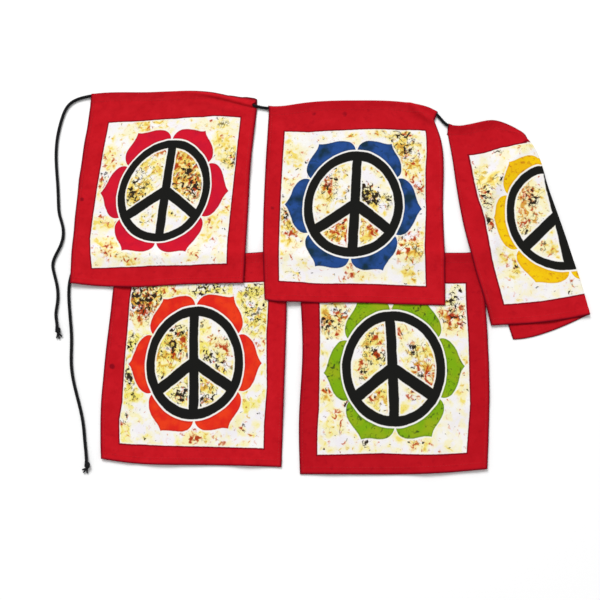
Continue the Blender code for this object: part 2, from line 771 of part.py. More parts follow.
def make_knot(name, end, heading):
    """Make an overhand knot with the cord's short cut end, from its turned sections."""
    cut_end = np.array(CUT_END[name])
    centre = np.array(end) + heading * KNOT_GAP
    total = KNOT_SECTIONS[-1][0]
    before = 0.0
    mesh = bmesh.new()
    rings = []
    for distance, radius, height, ridge in KNOT_SECTIONS:
        bend = ease((distance - KNOT_STRAIGHT) / (total - KNOT_STRAIGHT))
        along = heading * (1.0 - bend) + cut_end * bend
        along /= np.linalg.norm(along)
        centre = centre + along * (distance - before)
        before = distance
        ring = []
        for k in range(KNOT_SIDES):
            angle = 2.0 * math.pi * k / KNOT_SIDES
            wrap = ridge * math.cos(2.0 * angle - 2.0 * math.pi * KNOT_TURNS * distance / total)
            sideways = (radius + wrap) * math.cos(angle)
            upward = height + (radius + wrap) * math.sin(angle)
            point = (centre[0] - along[1] * sideways, centre[1] + along[0] * sideways, upward)
            ring.append(mesh.verts.new(np.array(point) * MM))
        rings.append(ring)
    for here, there in zip(rings, rings[1:]):
        for k in range(KNOT_SIDES):
            n = (k + 1) % KNOT_SIDES
            mesh.faces.new((here[k], here[n], there[n], there[k]))
    mesh.faces.new(rings[0])
    mesh.faces.new(rings[-1])
    bmesh.ops.recalc_face_normals(mesh, faces=mesh.faces)
    return finish_mesh(name, mesh, "black_cord")


def centre_on_origin(items, flags):
    """Move everything so that the middle of the flags stands at the origin."""
    bpy.context.view_layer.update()
    corners = np.array([vertex.co for flag in flags for vertex in flag.data.vertices])
    middle = 0.5 * (corners.min(axis=0) + corners.max(axis=0))
    for item in items:
        item.location = (-middle[0], -middle[1], 0.0)
    return middle


def main():
    """Build the bunting."""
    clear_scene()
    make_material("dyed_cotton", RED_DYE, 0.85)
    make_material("black_cord", BLACK_CORD, 0.7)
    cord = Cord()

    nothing = Beneath()
    under_1 = Beneath()
    under_1.add_sheet(flag_outline("flag_5", cord))
    under_1.add_ridge(sleeve_line("flag_5", cord), 2.0 * SLEEVE_RADIUS, SLEEVE_RADIUS)
    crossing = stretch_line("loose_2", cord, LOOSE_CORD_UNDER_FLAG_1)
    under_1.add_ridge(crossing, 2.0 * CORD_RADIUS, CORD_RADIUS)
    under_2 = Beneath()
    under_2.add_sheet(flag_outline("flag_4", cord))
    under_2.add_sheet(flag_outline("flag_5", cord))
    under_2.add_ridge(sleeve_line("flag_5", cord), 2.0 * SLEEVE_RADIUS, SLEEVE_RADIUS)
    under_2.add_ridge(stretch_line("gap_4", cord), 2.0 * SLEEVE_RADIUS, CORD_RADIUS)
    under_2.add_ridge(sleeve_line("flag_4", cord), 2.0 * SLEEVE_RADIUS, SLEEVE_RADIUS)

    flags = [
        flat_flag("flag_1", cord, under_1),
        flat_flag("flag_2", cord, under_2),
        folded_flag("flag_3", cord),
        flat_flag("flag_4", cord, nothing),
        flat_flag("flag_5", cord, nothing),
    ]
    start_heading = cord.plan[0] - cord.plan[1]
    end_heading = cord.plan[-1] - cord.plan[-2]
    others = [
        make_cord(cord),
        make_knot("knot_1", cord.plan[0], start_heading / np.linalg.norm(start_heading)),
        make_knot("knot_2", cord.plan[-1], end_heading / np.linalg.norm(end_heading)),
    ]
    middle = centre_on_origin(flags + others, flags)
    print("cord points", len(cord.plan), "cord length", round(cord.lengths[-1]))
    print("shift", np.round(middle / MM, 2))
    for name in EDGES:
        start, end = cord.sleeve(name)
        print(name, "sleeve length", round(end - start, 1))


main()
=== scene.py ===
# %% [markdown]
# A string of dyed cotton flags, laid out on a table.
#
# The real thing is five hemmed cloths, each with a sleeve along its top, threaded on one black cord
# with a knot at each end. The cord runs to the right through three flags, turns back inside the
# third, which is folded over on itself, and comes back through the other two. The upper flags lie
# over the tops of the lower ones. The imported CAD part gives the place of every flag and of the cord.
# This script dresses it: thin cloth with hems, stitches and a wax-dyed pattern, and a twisted cord.

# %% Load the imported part
import math

import bpy
import numpy as np
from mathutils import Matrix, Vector
from mathutils.bvhtree import BVHTree


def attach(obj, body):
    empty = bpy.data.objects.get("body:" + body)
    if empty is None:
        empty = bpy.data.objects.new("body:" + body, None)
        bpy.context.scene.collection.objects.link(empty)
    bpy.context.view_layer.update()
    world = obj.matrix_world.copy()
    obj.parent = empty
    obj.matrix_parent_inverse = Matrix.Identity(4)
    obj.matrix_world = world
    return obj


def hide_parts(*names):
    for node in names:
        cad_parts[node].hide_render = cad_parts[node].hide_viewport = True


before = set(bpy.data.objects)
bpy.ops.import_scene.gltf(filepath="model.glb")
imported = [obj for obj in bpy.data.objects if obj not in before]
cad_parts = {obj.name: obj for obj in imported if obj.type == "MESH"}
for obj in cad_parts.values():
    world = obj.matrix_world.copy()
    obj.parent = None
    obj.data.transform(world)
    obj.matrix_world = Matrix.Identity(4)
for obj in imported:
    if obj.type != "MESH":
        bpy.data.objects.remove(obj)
scene = bpy.context.scene
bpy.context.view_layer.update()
print("nodes", sorted(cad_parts))

# %% [markdown]
# The camera comes first, because everything is judged through it. The lens is a plain 50 mm one.
# It hangs about a metre above the table and is tilted thirteen degrees from straight down.
# Points are read from the 600-pixel picture, so one function puts a pixel on the table. The tables
# of the part are in millimetres from the point of the table in the middle of the picture, and one
# shift takes them to the part's own origin.

# %% Camera and the table's millimetres
MM = 0.001
LENS = 50.0
SENSOR = 36.0
TILT = math.radians(13.0)
DISTANCE = 1064.0
PICTURE = 600.0
FOCAL = LENS / SENSOR * PICTURE
MIDDLE = 0.5 * PICTURE
SHIFT = np.array([-36.83, -36.20, 0.0])


def on_table(pixel_x, pixel_y, height=0.0):
    """Return the millimetres across and along the table of a pixel seen at a height."""
    across = (pixel_x - MIDDLE) / FOCAL
    along = (MIDDLE - pixel_y) / FOCAL
    depth = DISTANCE - height * math.cos(TILT)
    y = (along * depth - height * math.sin(TILT)) / (math.cos(TILT) - along * math.sin(TILT))
    x = across * (depth + y * math.sin(TILT))
    return np.array([x, y])


def to_pixels(points):
    """Return the pixels at which points of the table are seen."""
    depth = DISTANCE + points[..., 1] * math.sin(TILT)
    x = MIDDLE + FOCAL * points[..., 0] / depth
    y = MIDDLE - FOCAL * points[..., 1] * math.cos(TILT) / depth
    return np.stack([x, y], axis=-1)


def add_object(name, data):
    """Return a new object of some data, placed in the scene."""
    item = bpy.data.objects.new(name, data)
    scene.collection.objects.link(item)
    return item


def add_camera():
    """Hang the camera over the table."""
    data = bpy.data.cameras.new("camera")
    data.lens = LENS
    data.sensor_width = SENSOR
    camera = add_object("camera", data)
    place = np.array([0.0, -math.sin(TILT), math.cos(TILT)]) * DISTANCE + SHIFT
    camera.location = place * MM
    camera.rotation_euler = (TILT, 0.0, 0.0)
    scene.camera = camera
    return camera


camera = add_camera()
print("camera at", [round(value, 3) for value in camera.location])

# %% [markdown]
# A studio table is a pale sheet that the light washes out to white, with only a soft shadow beside
# each edge. A large soft lamp hangs up and to the left, and a bright even sky fills the rest. The
# picture is shown with the plain Standard curve, which keeps white paper white.

# %% Table and light
TABLE_SIDE = 6.0
TABLE_DROP = 0.0004
LAMP_PLACE = Vector((-1.5, 3.4, 4.6))
LAMP_SIDE = 2.8
LAMP_POWER = 262.0
SKY_STRENGTH = 0.55
WHITE_PAPER = (0.97, 0.97, 0.97, 1.0)


def add_table():
    """Lay the white table top just under the part."""
    paper = bpy.data.materials.new("white_paper")
    paper.use_nodes = True
    shader = paper.node_tree.nodes["Principled BSDF"]
    shader.inputs["Base Color"].default_value = WHITE_PAPER
    shader.inputs["Roughness"].default_value = 1.0
    mesh = bpy.data.meshes.new("table_top")
    half = 0.5 * TABLE_SIDE
    corners = [(-half, -half), (half, -half), (half, half), (-half, half)]
    mesh.from_pydata([(x, y, -TABLE_DROP) for x, y in corners], [], [(0, 1, 2, 3)])
    mesh.materials.append(paper)
    add_object("table_top", mesh)


def add_light():
    """Hang the soft lamp and set the even sky."""
    data = bpy.data.lights.new("soft_lamp", "AREA")
    data.shape = "SQUARE"
    data.size = LAMP_SIDE
    data.energy = LAMP_POWER
    lamp = add_object("soft_lamp", data)
    lamp.location = LAMP_PLACE
    lamp.rotation_euler = (-LAMP_PLACE).to_track_quat("-Z", "Y").to_euler()
    world = bpy.data.worlds.new("even_sky")
    world.use_nodes = True
    background = world.node_tree.nodes["Background"]
    background.inputs["Color"].default_value = (1.0, 1.0, 1.0, 1.0)
    background.inputs["Strength"].default_value = SKY_STRENGTH
    scene.world = world


add_table()
add_light()
scene.view_settings.view_transform = "Standard"
scene.view_settings.look = "None"
print("lamp and sky ready")

# %% [markdown]
# Cloth and cord follow smooth lines through a few given points. A natural cubic spline goes
# through every point with no sudden bend, so one small class serves the cord's route, the flags'
# edges and the fold. It is read at many places at once, which keeps the script quick.

# %% A smooth line through given points
class SmoothLine:
    """A smooth line through points, read by the share of the way along it."""

    def __init__(self, points):
        self.values = np.array(points, dtype=float)
        steps = np.linalg.norm(np.diff(self.values, axis=0), axis=1)
        self.knots = np.concatenate([[0.0], np.cumsum(steps)])
        count = len(self.knots)
        matrix = np.eye(count)
        right = np.zeros_like(self.values)
        slopes = np.diff(self.values, axis=0) / steps[:, None]
        for row in range(1, count - 1):
            before, after = steps[row - 1], steps[row]
            matrix[row, row - 1:row + 2] = before, 2.0 * (before + after), after
            right[row] = 6.0 * (slopes[row] - slopes[row - 1])
        self.bends = np.linalg.solve(matrix, right)

    def read(self, where):
        """Return the points at distances along the straight lines between the set points."""
        where = np.asarray(where, dtype=float)
        cell = np.clip(np.searchsorted(self.knots, where) - 1, 0, len(self.knots) - 2)
        step = self.knots[cell + 1] - self.knots[cell]
        a = ((self.knots[cell + 1] - where) / step)[..., None]
        b = 1.0 - a
        straight = a * self.values[cell] + b * self.values[cell + 1]
        curl = (a**3 - a) * self.bends[cell] + (b**3 - b) * self.bends[cell + 1]
        return straight + curl * (step**2)[..., None] / 6.0

    def at(self, share):
        """Return the points at shares from 0 to 1."""
        return self.read(np.asarray(share, dtype=float) * self.knots[-1])


def ease(value):
    """Return 0 below 0, 1 above 1 and a smooth step between."""
    value = np.clip(value, 0.0, 1.0)
    return value * value * (3.0 - 2.0 * value)


print("the middle of a smooth line", SmoothLine([(0.0, 0.0), (1.0, 1.0), (2.0, 0.0)]).at(0.5))

# %% [markdown]
# The cord is one length of black twisted cord, a little under four millimetres thick and not quite
# two metres long. Its route follows the part's, point for point, and is moved by up to 3.2
# millimetres where the photo asks for it. A stretch named for a flag lies inside that flag's
# sleeve, where the cloth under it lifts it a little off the table.

# %% The cord's route
CORD_RADIUS = 1.9
SLEEVE_CORD_Z = 2.5
TABLE_CORD_Z = 1.9
KNOT_CORD_Z = 3.9
MOUTH_RAMP = 18.0
KNOT_RAMP = 14.0
ROUTE_STEP = 1.5
ASIDE_REACH = 3.0

# Each stretch's points: x, y.
ROUTE = {
    "loose_1": (
        (-306.5, -36.2), (-307.9, -29.8), (-309.8, -20.5), (-309, -5), (-310.7, 17.3),
        (-316.1, 35.8), (-318.2, 46.5), (-315.9, 57.2), (-310.8, 69.2), (-307.5, 82.8),
        (-309.1, 99.1), (-314, 114.1), (-316.5, 130.6), (-318.8, 152.8), (-322.1, 178.1),
        (-324.1, 200.7), (-323.6, 223.6), (-320.3, 245.2), (-309.3, 271.5),
    ),
    "flag_1": ((-283, 282), (-206, 285), (-160, 286.6), (-125, 283.8)),
    "gap_1": ((-59.5, 267.2),),
    "flag_2": ((-41.8, 264), (0, 268.6), (80, 273), (152, 268.6)),
    "gap_2": ((184, 254.6),),
    "flag_3": (
        (198.3, 239.2), (212, 236.4), (228, 238.5), (245, 242.8), (260, 244.2),
        (272, 240.8), (285, 234.3), (294.2, 227.6), (299.4, 218.2), (297.8, 207.8),
        (289, 195.6),
    ),
    "gap_3": ((236.5, 121), (228.5, 101.5), (238.5, 84.5), (250.2, 73.5)),
    "flag_4": ((235, 62.8), (206, 58.8), (70, 54.8)),
    "gap_4": ((0.5, 55.2),),
    "flag_5": ((-16.8, 59.4), (-60, 59), (-150, 58.5)),
    "loose_2": (
        (-236.6, 58.9), (-262, 60.5), (-286.5, 47), (-295.4, 12), (-294, -5),
        (-291, -27.1), (-288.4, -47.7), (-287.4, -68.1), (-286.4, -83.3), (-283.8, -98.4),
        (-278.2, -118.4), (-267.1, -157.9), (-264.1, -177.3), (-259.8, -203),
    ),
}


class CordLine:
    """The cord's line on the table, with the places where each stretch starts and ends."""

    def __init__(self):
        line = SmoothLine([point for points in ROUTE.values() for point in points])
        where = np.linspace(0.0, line.knots[-1], int(line.knots[-1] / ROUTE_STEP))
        self.plan = line.read(where)
        steps = np.linalg.norm(np.diff(self.plan, axis=0), axis=1)
        self.lengths = np.concatenate([[0.0], np.cumsum(steps)])
        self.stretch = {}
        last = 0
        for name, points in ROUTE.items():
            first, last = last, min(last + len(points), len(line.knots) - 1)
            self.stretch[name] = tuple(np.interp(line.knots[[first, last]], where, self.lengths))

    def at(self, length):
        """Return the plan points at lengths along the cord."""
        return np.stack([np.interp(length, self.lengths, column) for column in self.plan.T], axis=-1)

    def aside(self, length, sleeve):
        """Return the way to the right of the cord, kept square inside a sleeve's mouths."""
        start, end = self.stretch[sleeve]
        length = np.clip(length, start + ASIDE_REACH, end - ASIDE_REACH)
        step = self.at(length + ASIDE_REACH) - self.at(length - ASIDE_REACH)
        step /= np.linalg.norm(step, axis=-1, keepdims=True)
        return np.stack([step[..., 1], -step[..., 0]], axis=-1)

    def heights(self):
        """Return the height of the cord's middle at each of its points."""
        total = self.lengths[-1]
        rise = np.zeros_like(self.lengths)
        for name, (start, end) in self.stretch.items():
            if name.startswith("flag"):
                outside = np.maximum(start - self.lengths, self.lengths - end)
                rise = np.maximum(rise, 1.0 - ease(outside / MOUTH_RAMP))
        near_end = np.minimum(self.lengths, total - self.lengths)
        sleeve_rise = (SLEEVE_CORD_Z - TABLE_CORD_Z) * rise
        knot_rise = (KNOT_CORD_Z - TABLE_CORD_Z) * (1.0 - ease(near_end / KNOT_RAMP))
        return TABLE_CORD_Z + np.maximum(sleeve_rise, knot_rise)


cord_line = CordLine()
cord_points = np.column_stack([cord_line.plan, cord_line.heights()]) + SHIFT
print("cord length in mm", round(cord_line.lengths[-1]))

# %% [markdown]
# Geometry Nodes suit anything that follows a line. A few helpers keep their trees short: one adds
# a node and plugs in what is named, where another node stands for its first output, and one class
# lets sockets take part in plain Python sums. The finishes further down use the same helpers.

# %% Helpers for node trees
class Sum:
    """A tree's socket that takes part in Python arithmetic."""

    def __init__(self, tree, socket):
        self.tree = tree
        self.socket = socket

    def math(self, operation, *values, clamp=False):
        """Add a Math node on these values."""
        settings = {"operation": operation, "use_clamp": clamp}
        return Sum(self.tree, put(self.tree, "ShaderNodeMath", settings, *values).outputs[0])

    def __add__(self, other):
        return self.math("ADD", self, other)

    def __sub__(self, other):
        return self.math("SUBTRACT", self, other)

    def __rsub__(self, other):
        return self.math("SUBTRACT", other, self)

    def __mul__(self, other):
        return self.math("MULTIPLY", self, other)

    def __truediv__(self, other):
        return self.math("DIVIDE", self, other)

    def __pow__(self, other):
        return self.math("POWER", self, other)

    def __abs__(self):
        return self.math("ABSOLUTE", self)

    def clamp(self):
        """Return the value kept between 0 and 1."""
        return self.math("ADD", self, 0.0, clamp=True)

    def least(self, other):
        """Return the smaller of two values."""
        return self.math("MINIMUM", self, other)

    def most(self, other):
        """Return the larger of two values."""
        return self.math("MAXIMUM", self, other)


def put(tree, kind, settings=None, *values, **links):
    """Add a node: its settings first, then its sockets in their order, or by name."""
    node = tree.nodes.new(kind)
    for key, value in (settings or {}).items():
        setattr(node, key, value)
    pairs = list(zip(node.inputs, values))
    for label, value in links.items():
        wanted = label.replace("_", " ").lower()
        pairs.append((next(s for s in node.inputs if s.enabled and s.name.lower() == wanted), value))
    for socket, value in pairs:
        if isinstance(value, Sum):
            value = value.socket
        elif isinstance(value, bpy.types.Node):
            value = value.outputs[0]
        if isinstance(value, bpy.types.NodeSocket):
            tree.links.new(value, socket)
        else:
            socket.default_value = value
    return node


def new_tree(name, inputs):
    """Return an empty geometry tree with named inputs, and its input and output nodes."""
    tree = bpy.data.node_groups.new(name, "GeometryNodeTree")
    tree.interface.new_socket("Geometry", in_out="INPUT", socket_type="NodeSocketGeometry")
    for label, kind in inputs.items():
        tree.interface.new_socket(label, in_out="INPUT", socket_type="NodeSocket" + kind)
    tree.interface.new_socket("Geometry", in_out="OUTPUT", socket_type="NodeSocketGeometry")
    return tree, tree.nodes.new("NodeGroupInput"), tree.nodes.new("NodeGroupOutput")


def give_result(tree, given, result, shape):
    """Make a shape the tree's result, as plain geometry in the given finish."""
    real = put(tree, "GeometryNodeRealizeInstances", Geometry=shape)
    painted = put(tree, "GeometryNodeSetMaterial", Geometry=real, Material=given.outputs["Finish"])
    tree.links.new(painted.outputs[0], result.inputs[0])


def run_tree(name, mesh, tree, values):
    """Run a geometry tree on a mesh and return the result as a plain mesh object."""
    source = add_object(name + "_source", mesh)
    modifier = source.modifiers.new("nodes", "NODES")
    modifier.node_group = tree
    for item in tree.interface.items_tree:
        if item.item_type == "SOCKET" and item.in_out == "INPUT" and item.name in values:
            modifier[item.identifier] = values[item.name]
    source.update_tag()
    bpy.context.view_layer.update()
    evaluated = source.evaluated_get(bpy.context.evaluated_depsgraph_get())
    result = bpy.data.meshes.new_from_object(evaluated)
    result.name = name
    source.modifiers.remove(modifier)
    bpy.data.objects.remove(source, do_unlink=True)
    print(name, "triangles", sum(len(face.vertices) - 2 for face in result.polygons))
    return add_object(name, result)


def line_mesh(name, lines):
    """Return a mesh of open lines of points in metres."""
    mesh = bpy.data.meshes.new(name)
    edges = []
    start = 0
    for line in lines:
        edges += [(start + k, start + k + 1) for k in range(len(line) - 1)]
        start += len(line)
    mesh.from_pydata(np.concatenate(lines).tolist(), edges, [])
    return mesh


print("helpers ready")

# %% [markdown]
# Black cotton cord is not quite black: its fibres catch a little light along the plies. A fine
# noise on the object's own coordinates gives the fibres, and a slight sheen the soft edge.

# %% The cord's finish
CORD_BLACK = (0.006, 0.006, 0.007)
CORD_GREY = (0.028, 0.028, 0.032)


class Paint:
    """A new material, with the helpers that its colours are mixed with."""

    def __init__(self, name, roughness, sheen=0.0):
        self.material = bpy.data.materials.new(name)
        self.material.use_nodes = True
        self.tree = self.material.node_tree
        self.shader = self.tree.nodes["Principled BSDF"]
        self.shader.inputs["Roughness"].default_value = roughness
        self.shader.inputs["Sheen Weight"].default_value = sheen
        self.shader.inputs["Specular IOR Level"].default_value = 0.06

    def node(self, kind, settings=None, output=0, **values):
        """Add any node and return one of its outputs."""
        return Sum(self.tree, put(self.tree, kind, settings, **values).outputs[output])

    def on_points(self, name, output=2):
        """Return a value that the mesh carries on its points."""
        return self.node("ShaderNodeAttribute", {"attribute_name": name}, output)

    def mix(self, share, base, over):
        """Return a colour between two colours, which may be plain red, green and blue."""
        base, over = ((*colour, 1.0) if isinstance(colour, tuple) else colour for colour in (base, over))
        return self.node("ShaderNodeMix", {"data_type": "RGBA"}, 2, Factor=share, A=base, B=over)

    def spot(self, x, y, z=0.0):
        """Return a point made of three values."""
        return self.node("ShaderNodeCombineXYZ", X=x, Y=y, Z=z)

    def noise(self, where, scale, detail=2.0, roughness=0.5, distortion=0.0):
        """Return a noise value, about 0.5 on average."""
        return self.node("ShaderNodeTexNoise", None, 0, Vector=where, Scale=scale, Detail=detail,
                         Roughness=roughness, Distortion=distortion)

    def bump(self, height, strength, distance):
        """Raise the surface by a height, and pass it to the shader."""
        bumped = self.node("ShaderNodeBump", Height=height, Strength=strength, Distance=distance)
        self.tree.links.new(bumped.socket, self.shader.inputs["Normal"])

    def colour(self, value):
        """Pass a colour to the shader."""
        self.tree.links.new(value.socket, self.shader.inputs["Base Color"])


def cord_finish():
    """Return the black cord's finish."""
    paint = Paint("black_cord_fibres", 0.8, 0.15)
    place = paint.node("ShaderNodeTexCoord", None, 3)
    fibres = paint.noise(place, 1400.0, 3.0, 0.7)
    patches = paint.noise(place, 90.0, 2.0)
    light = ((fibres - 0.45) * 1.3 * patches).clamp()
    paint.colour(paint.mix(light, CORD_BLACK, CORD_GREY))
    paint.bump(fibres, 0.35, 0.0003)
    return paint.material


cord_material = cord_finish()
print("finish", cord_material.name)

# %% [markdown]
# The cord is three soft plies twisted together, which seen end-on is a circle with three low lobes.
# The tree gives the line a steady twist, bends the lobed outline round it and closes the ends. The
# result is turned into a plain mesh, so nothing is left to run later.

# %% The twisted cord
CORD_LAY = 9.0
CORD_LOBE = 0.10
CORD_LOBES = 3
CORD_SIDES = 18
CORD_FULLNESS = 0.2


def cord_tree():
    """Return the tree that twists a lobed outline along a line."""
    tree, given, result = new_tree(
        "twisted cord", {"Radius": "Float", "Lay": "Float", "Lobe": "Float", "Finish": "Material"})
    line = put(tree, "GeometryNodeMeshToCurve", Mesh=given)
    along = put(tree, "GeometryNodeSplineParameter")
    tilt = Sum(tree, along.outputs["Length"]) / given.outputs["Lay"] * (2.0 * math.pi)
    twisted = put(tree, "GeometryNodeSetCurveTilt", Curve=line, Tilt=tilt)
    circle = put(tree, "GeometryNodeCurvePrimitiveCircle", Resolution=CORD_SIDES,
                 Radius=given.outputs["Radius"])
    around = put(tree, "GeometryNodeSplineParameter")
    angle = Sum(tree, around.outputs["Factor"]) * (CORD_LOBES * 2.0 * math.pi) * 0.5
    lobe = Sum(tree, given.outputs["Lobe"])
    scale = 1.0 - lobe + abs(angle.math("COSINE", angle)) * lobe
    here = put(tree, "GeometryNodeInputPosition")
    moved = put(tree, "ShaderNodeVectorMath", {"operation": "SCALE"}, Vector=here, Scale=scale)
    outline = put(tree, "GeometryNodeSetPosition", Geometry=circle, Position=moved)
    tube = put(tree, "GeometryNodeCurveToMesh", Curve=twisted, Profile_Curve=outline, Fill_Caps=True)
    smooth = put(tree, "GeometryNodeSetShadeSmooth", Geometry=tube)
    give_result(tree, given, result, smooth)
    return tree


cord_piece = run_tree(
    "cord_twist",
    line_mesh("cord_line", [cord_points * MM]),
    cord_tree(),
    {"Radius": (CORD_RADIUS + CORD_FULLNESS) * MM, "Lay": CORD_LAY * MM, "Lobe": CORD_LOBE,
     "Finish": cord_material},
)

# %% [markdown]
# Each end of the cord is tied in an overhand knot. Seen flat it is a three-lobed loop that crosses
# itself three times, so its line comes from that curve, cut open at its outermost lobe where the
# two ends pass each other. Past the knot the plies come apart in three short blunt tufts.

# %% The knots
KNOT_LOOP = 1.75
KNOT_WAVE = 1.15
KNOT_STRAND = 1.4
KNOT_STEPS = 90
KNOT_OPEN = 0.32
KNOT_RISE = 4.0
KNOT_SIDES = 12
TUFT_RADIUS = 1.15
TUFT_STEPS = 12
TUFT_SIDES = 8

# The cord's point at each knot, a point further in that gives its heading, and the tufts' way.
KNOTS = {
    "knot_1": {"ends": (0, 6), "tufts": (0.21, -0.978)},
    "knot_2": {"ends": (-1, -7), "tufts": (-0.62, -0.785)},
}

# One line for each ply: along the tufts, aside, height.
TUFTS = (
    ((0.0, 0.3, 0.2), (2.0, 1.0, -0.2), (4.0, 2.2, -1.6), (6.0, 3.6, -2.6)),
    ((0.0, 0.0, 0.4), (2.4, -0.1, 0.2), (5.0, 0.1, -1.2), (7.6, 0.3, -2.6)),
    ((0.0, -0.4, 0.0), (1.8, -1.2, -0.4), (3.6, -2.4, -1.6), (5.2, -3.8, -2.6)),
)


def tube(points, radii, sides=KNOT_SIDES):
    """Return the points and faces of a closed round tube along a line."""
    points = np.array(points, dtype=float)
    ahead = np.gradient(points, axis=0)
    ahead /= np.linalg.norm(ahead, axis=1, keepdims=True)
    side = np.cross(ahead[0], (0.0, 0.0, 1.0))
    if np.linalg.norm(side) < 0.1:
        side = np.cross(ahead[0], (1.0, 0.0, 0.0))
    angles = np.linspace(0.0, 2.0 * math.pi, sides, endpoint=False)
    rings = []
    for point, forward, radius in zip(points, ahead, radii):
        side = side - forward * (side @ forward)
        side /= np.linalg.norm(side)
        up = np.cross(side, forward)
        rings.append(point + radius * (np.cos(angles)[:, None] * side + np.sin(angles)[:, None] * up))
    verts = np.concatenate(rings)
    faces = []
    for k in range(len(points) - 1):
        for j in range(sides):
            n = (j + 1) % sides
            faces.append((k * sides + j, k * sides + n, (k + 1) * sides + n, (k + 1) * sides + j))
    faces.append(tuple(range(sides - 1, -1, -1)))
    faces.append(tuple(range(len(verts) - sides, len(verts))))
    return verts, faces


def smooth_mesh(name, points, faces, material=None):
    """Return a smooth mesh object of points in metres and faces."""
    mesh = bpy.data.meshes.new(name)
    mesh.from_pydata(np.asarray(points).tolist(), [], faces)
    if material:
        mesh.materials.append(material)
    mesh.shade_smooth()
    return add_object(name, mesh)


def knot_line():
    """Return the overhand knot's line: along it, aside and height, from its mouth."""
    turn = np.linspace(KNOT_OPEN, 2.0 * math.pi - KNOT_OPEN, KNOT_STEPS)
    reach = KNOT_LOOP + KNOT_WAVE * np.cos(3.0 * turn)
    aside = reach * np.cos(2.0 * turn)
    along = reach * np.sin(2.0 * turn)
    height = KNOT_WAVE * np.sin(3.0 * turn)
    return np.column_stack([along, aside, height])


def make_knot(name):
    """Return one overhand knot with its three tufts."""
    end, back = KNOTS[name]["ends"]
    mouth = cord_points[end]
    heading = mouth - cord_points[back]
    heading[2] = 0.0
    heading /= np.linalg.norm(heading)
    across = np.array([heading[1], -heading[0], 0.0])
    cut = np.array([*KNOTS[name]["tufts"], 0.0])
    cut_across = np.array([cut[1], -cut[0], 0.0])
    up = np.array([0.0, 0.0, 1.0])
    centre = mouth + heading * (KNOT_LOOP + KNOT_WAVE + KNOT_STRAND)
    centre[2] = KNOT_RISE
    loop = [centre + heading * a + across * s + up * h for a, s, h in knot_line()]
    out_end = centre + heading * (KNOT_LOOP + KNOT_WAVE)
    line = [mouth - heading * 3.0, mouth + heading * 0.5 + across * 0.6 + up * 0.3, *loop, out_end]
    radii = [CORD_RADIUS * 0.97] * 2 + [KNOT_STRAND] * len(loop) + [CORD_RADIUS * 0.9]
    verts, faces = tube(np.array(line) * MM, np.array(radii) * MM)
    shares = np.linspace(0.0, 1.0, TUFT_STEPS)
    for ply in TUFTS:
        path = SmoothLine([out_end + cut * a + cut_across * s + up * h for a, s, h in ply])
        thick = TUFT_RADIUS * (1.0 - 0.25 * shares**3)
        more_verts, more_faces = tube(path.at(shares) * MM, thick * MM, TUFT_SIDES)
        faces += [tuple(k + len(verts) for k in face) for face in more_faces]
        verts = np.concatenate([verts, more_verts])
    return smooth_mesh(name + "_tie", verts, faces, cord_material)


knot_pieces = {name: make_knot(name) for name in KNOTS}
print("knots", sorted(knot_pieces))

# %% [markdown]
# The cloth. Every flag is cut about 23 by 28 centimetres, with narrow rolled hems at its sides, a
# wider one at the bottom and a sleeve at the top. The tables give the edges below the sleeve and how
# far the sleeve's own fold stands off the cord. They start from the part's and are set a little
# closer to the photo, by three millimetres at the most.

# %% The flags' edges
CLOTH = 0.45
REST_Z = 0.5
SLEEVE_RADIUS = 2.2
SLEEVE_TAIL = 9.5
SHORTEST_TAIL = 5.5
SLEEVE_FLATNESS = 0.67
SEAM_Z = 1.5

# Each flag's edges below the sleeve: x, y. The first side is where the cord comes in.
EDGES = {
    "flag_1": {
        "first_side": ((-284.5, 240), (-287.7, 204.5), (-293.5, 106.1), (-294.3, 60), (-293.5, 20.8)),
        "last_side": ((-60.8, 232.3), (-64.8, 188), (-67, 138.9), (-69.8, 68.2), (-71.9, 21.2)),
        "hem": ((-267.6, 18.1), (-236.4, 16.3), (-220.3, 15.9), (-182.9, 17.4), (-126.4, 20.3)),
    },
    "flag_2": {
        "first_side": ((-43.6, 225), (-45.2, 190.9), (-48.1, 89.5), (-47.5, 53), (-45.3, -0.2)),
        "last_side": ((186.6, 226), (189.5, 205), (187.6, 134.8), (186.8, 89.5), (185, -7.6)),
        "hem": ((-30.6, -3), (0, -3.9), (30, -4.8), (60, -4.3), (127.5, -6.5)),
    },
    "flag_3": {
        "first_side": ((201.9, 190.9), (207.5, 134.8), (218.8, 66.4), (241.6, -33.8)),
        "last_side": ((249, 108), (254.5, 90), (258, 60), (256.5, 13), (268.9, -51.2)),
        "hem": ((265, -32.6), (313.7, -29)),
        "under_hem": ((334.4, -34), (305.4, -44.7), (279, -50.6)),
    },
    "flag_4": {
        "first_side": ((236, 22.4), (236.5, -54.1), (233.9, -142.7), (227.9, -211.8)),
        "last_side": ((0.9, -3.7), (2.8, -73.7), (-1.2, -146), (-0.1, -217.8)),
        "hem": ((170.6, -216.6), (130.3, -218), (73.1, -218.2)),
    },
    "flag_5": {
        "first_side": ((-17, -3.7), (-18.8, -87.5), (-22.5, -209.5)),
        "last_side": ((-238.7, 16.4), (-245, -88.2), (-245.5, -166), (-242.8, -199.4)),
        "hem": ((-122.1, -207), (-183.2, -206.2), (-213.8, -203.8)),
    },
}

# The folded edge of flag 3, from the cord's turn down to the hem: x, y.
FOLD_LINE = SmoothLine((
    (306, 217.5), (313.5, 202), (318.8, 186), (324, 160.5), (333.5, 123.5),
    (344, 84.5), (354.4, 42.6), (362.6, 8), (368, -19.5),
))

# Which side of the cord a flat flag's cloth is on, going along it: 1 is right and -1 is left.
CLOTH_SIDE = {"flag_1": 1, "flag_2": 1, "flag_4": -1, "flag_5": -1}

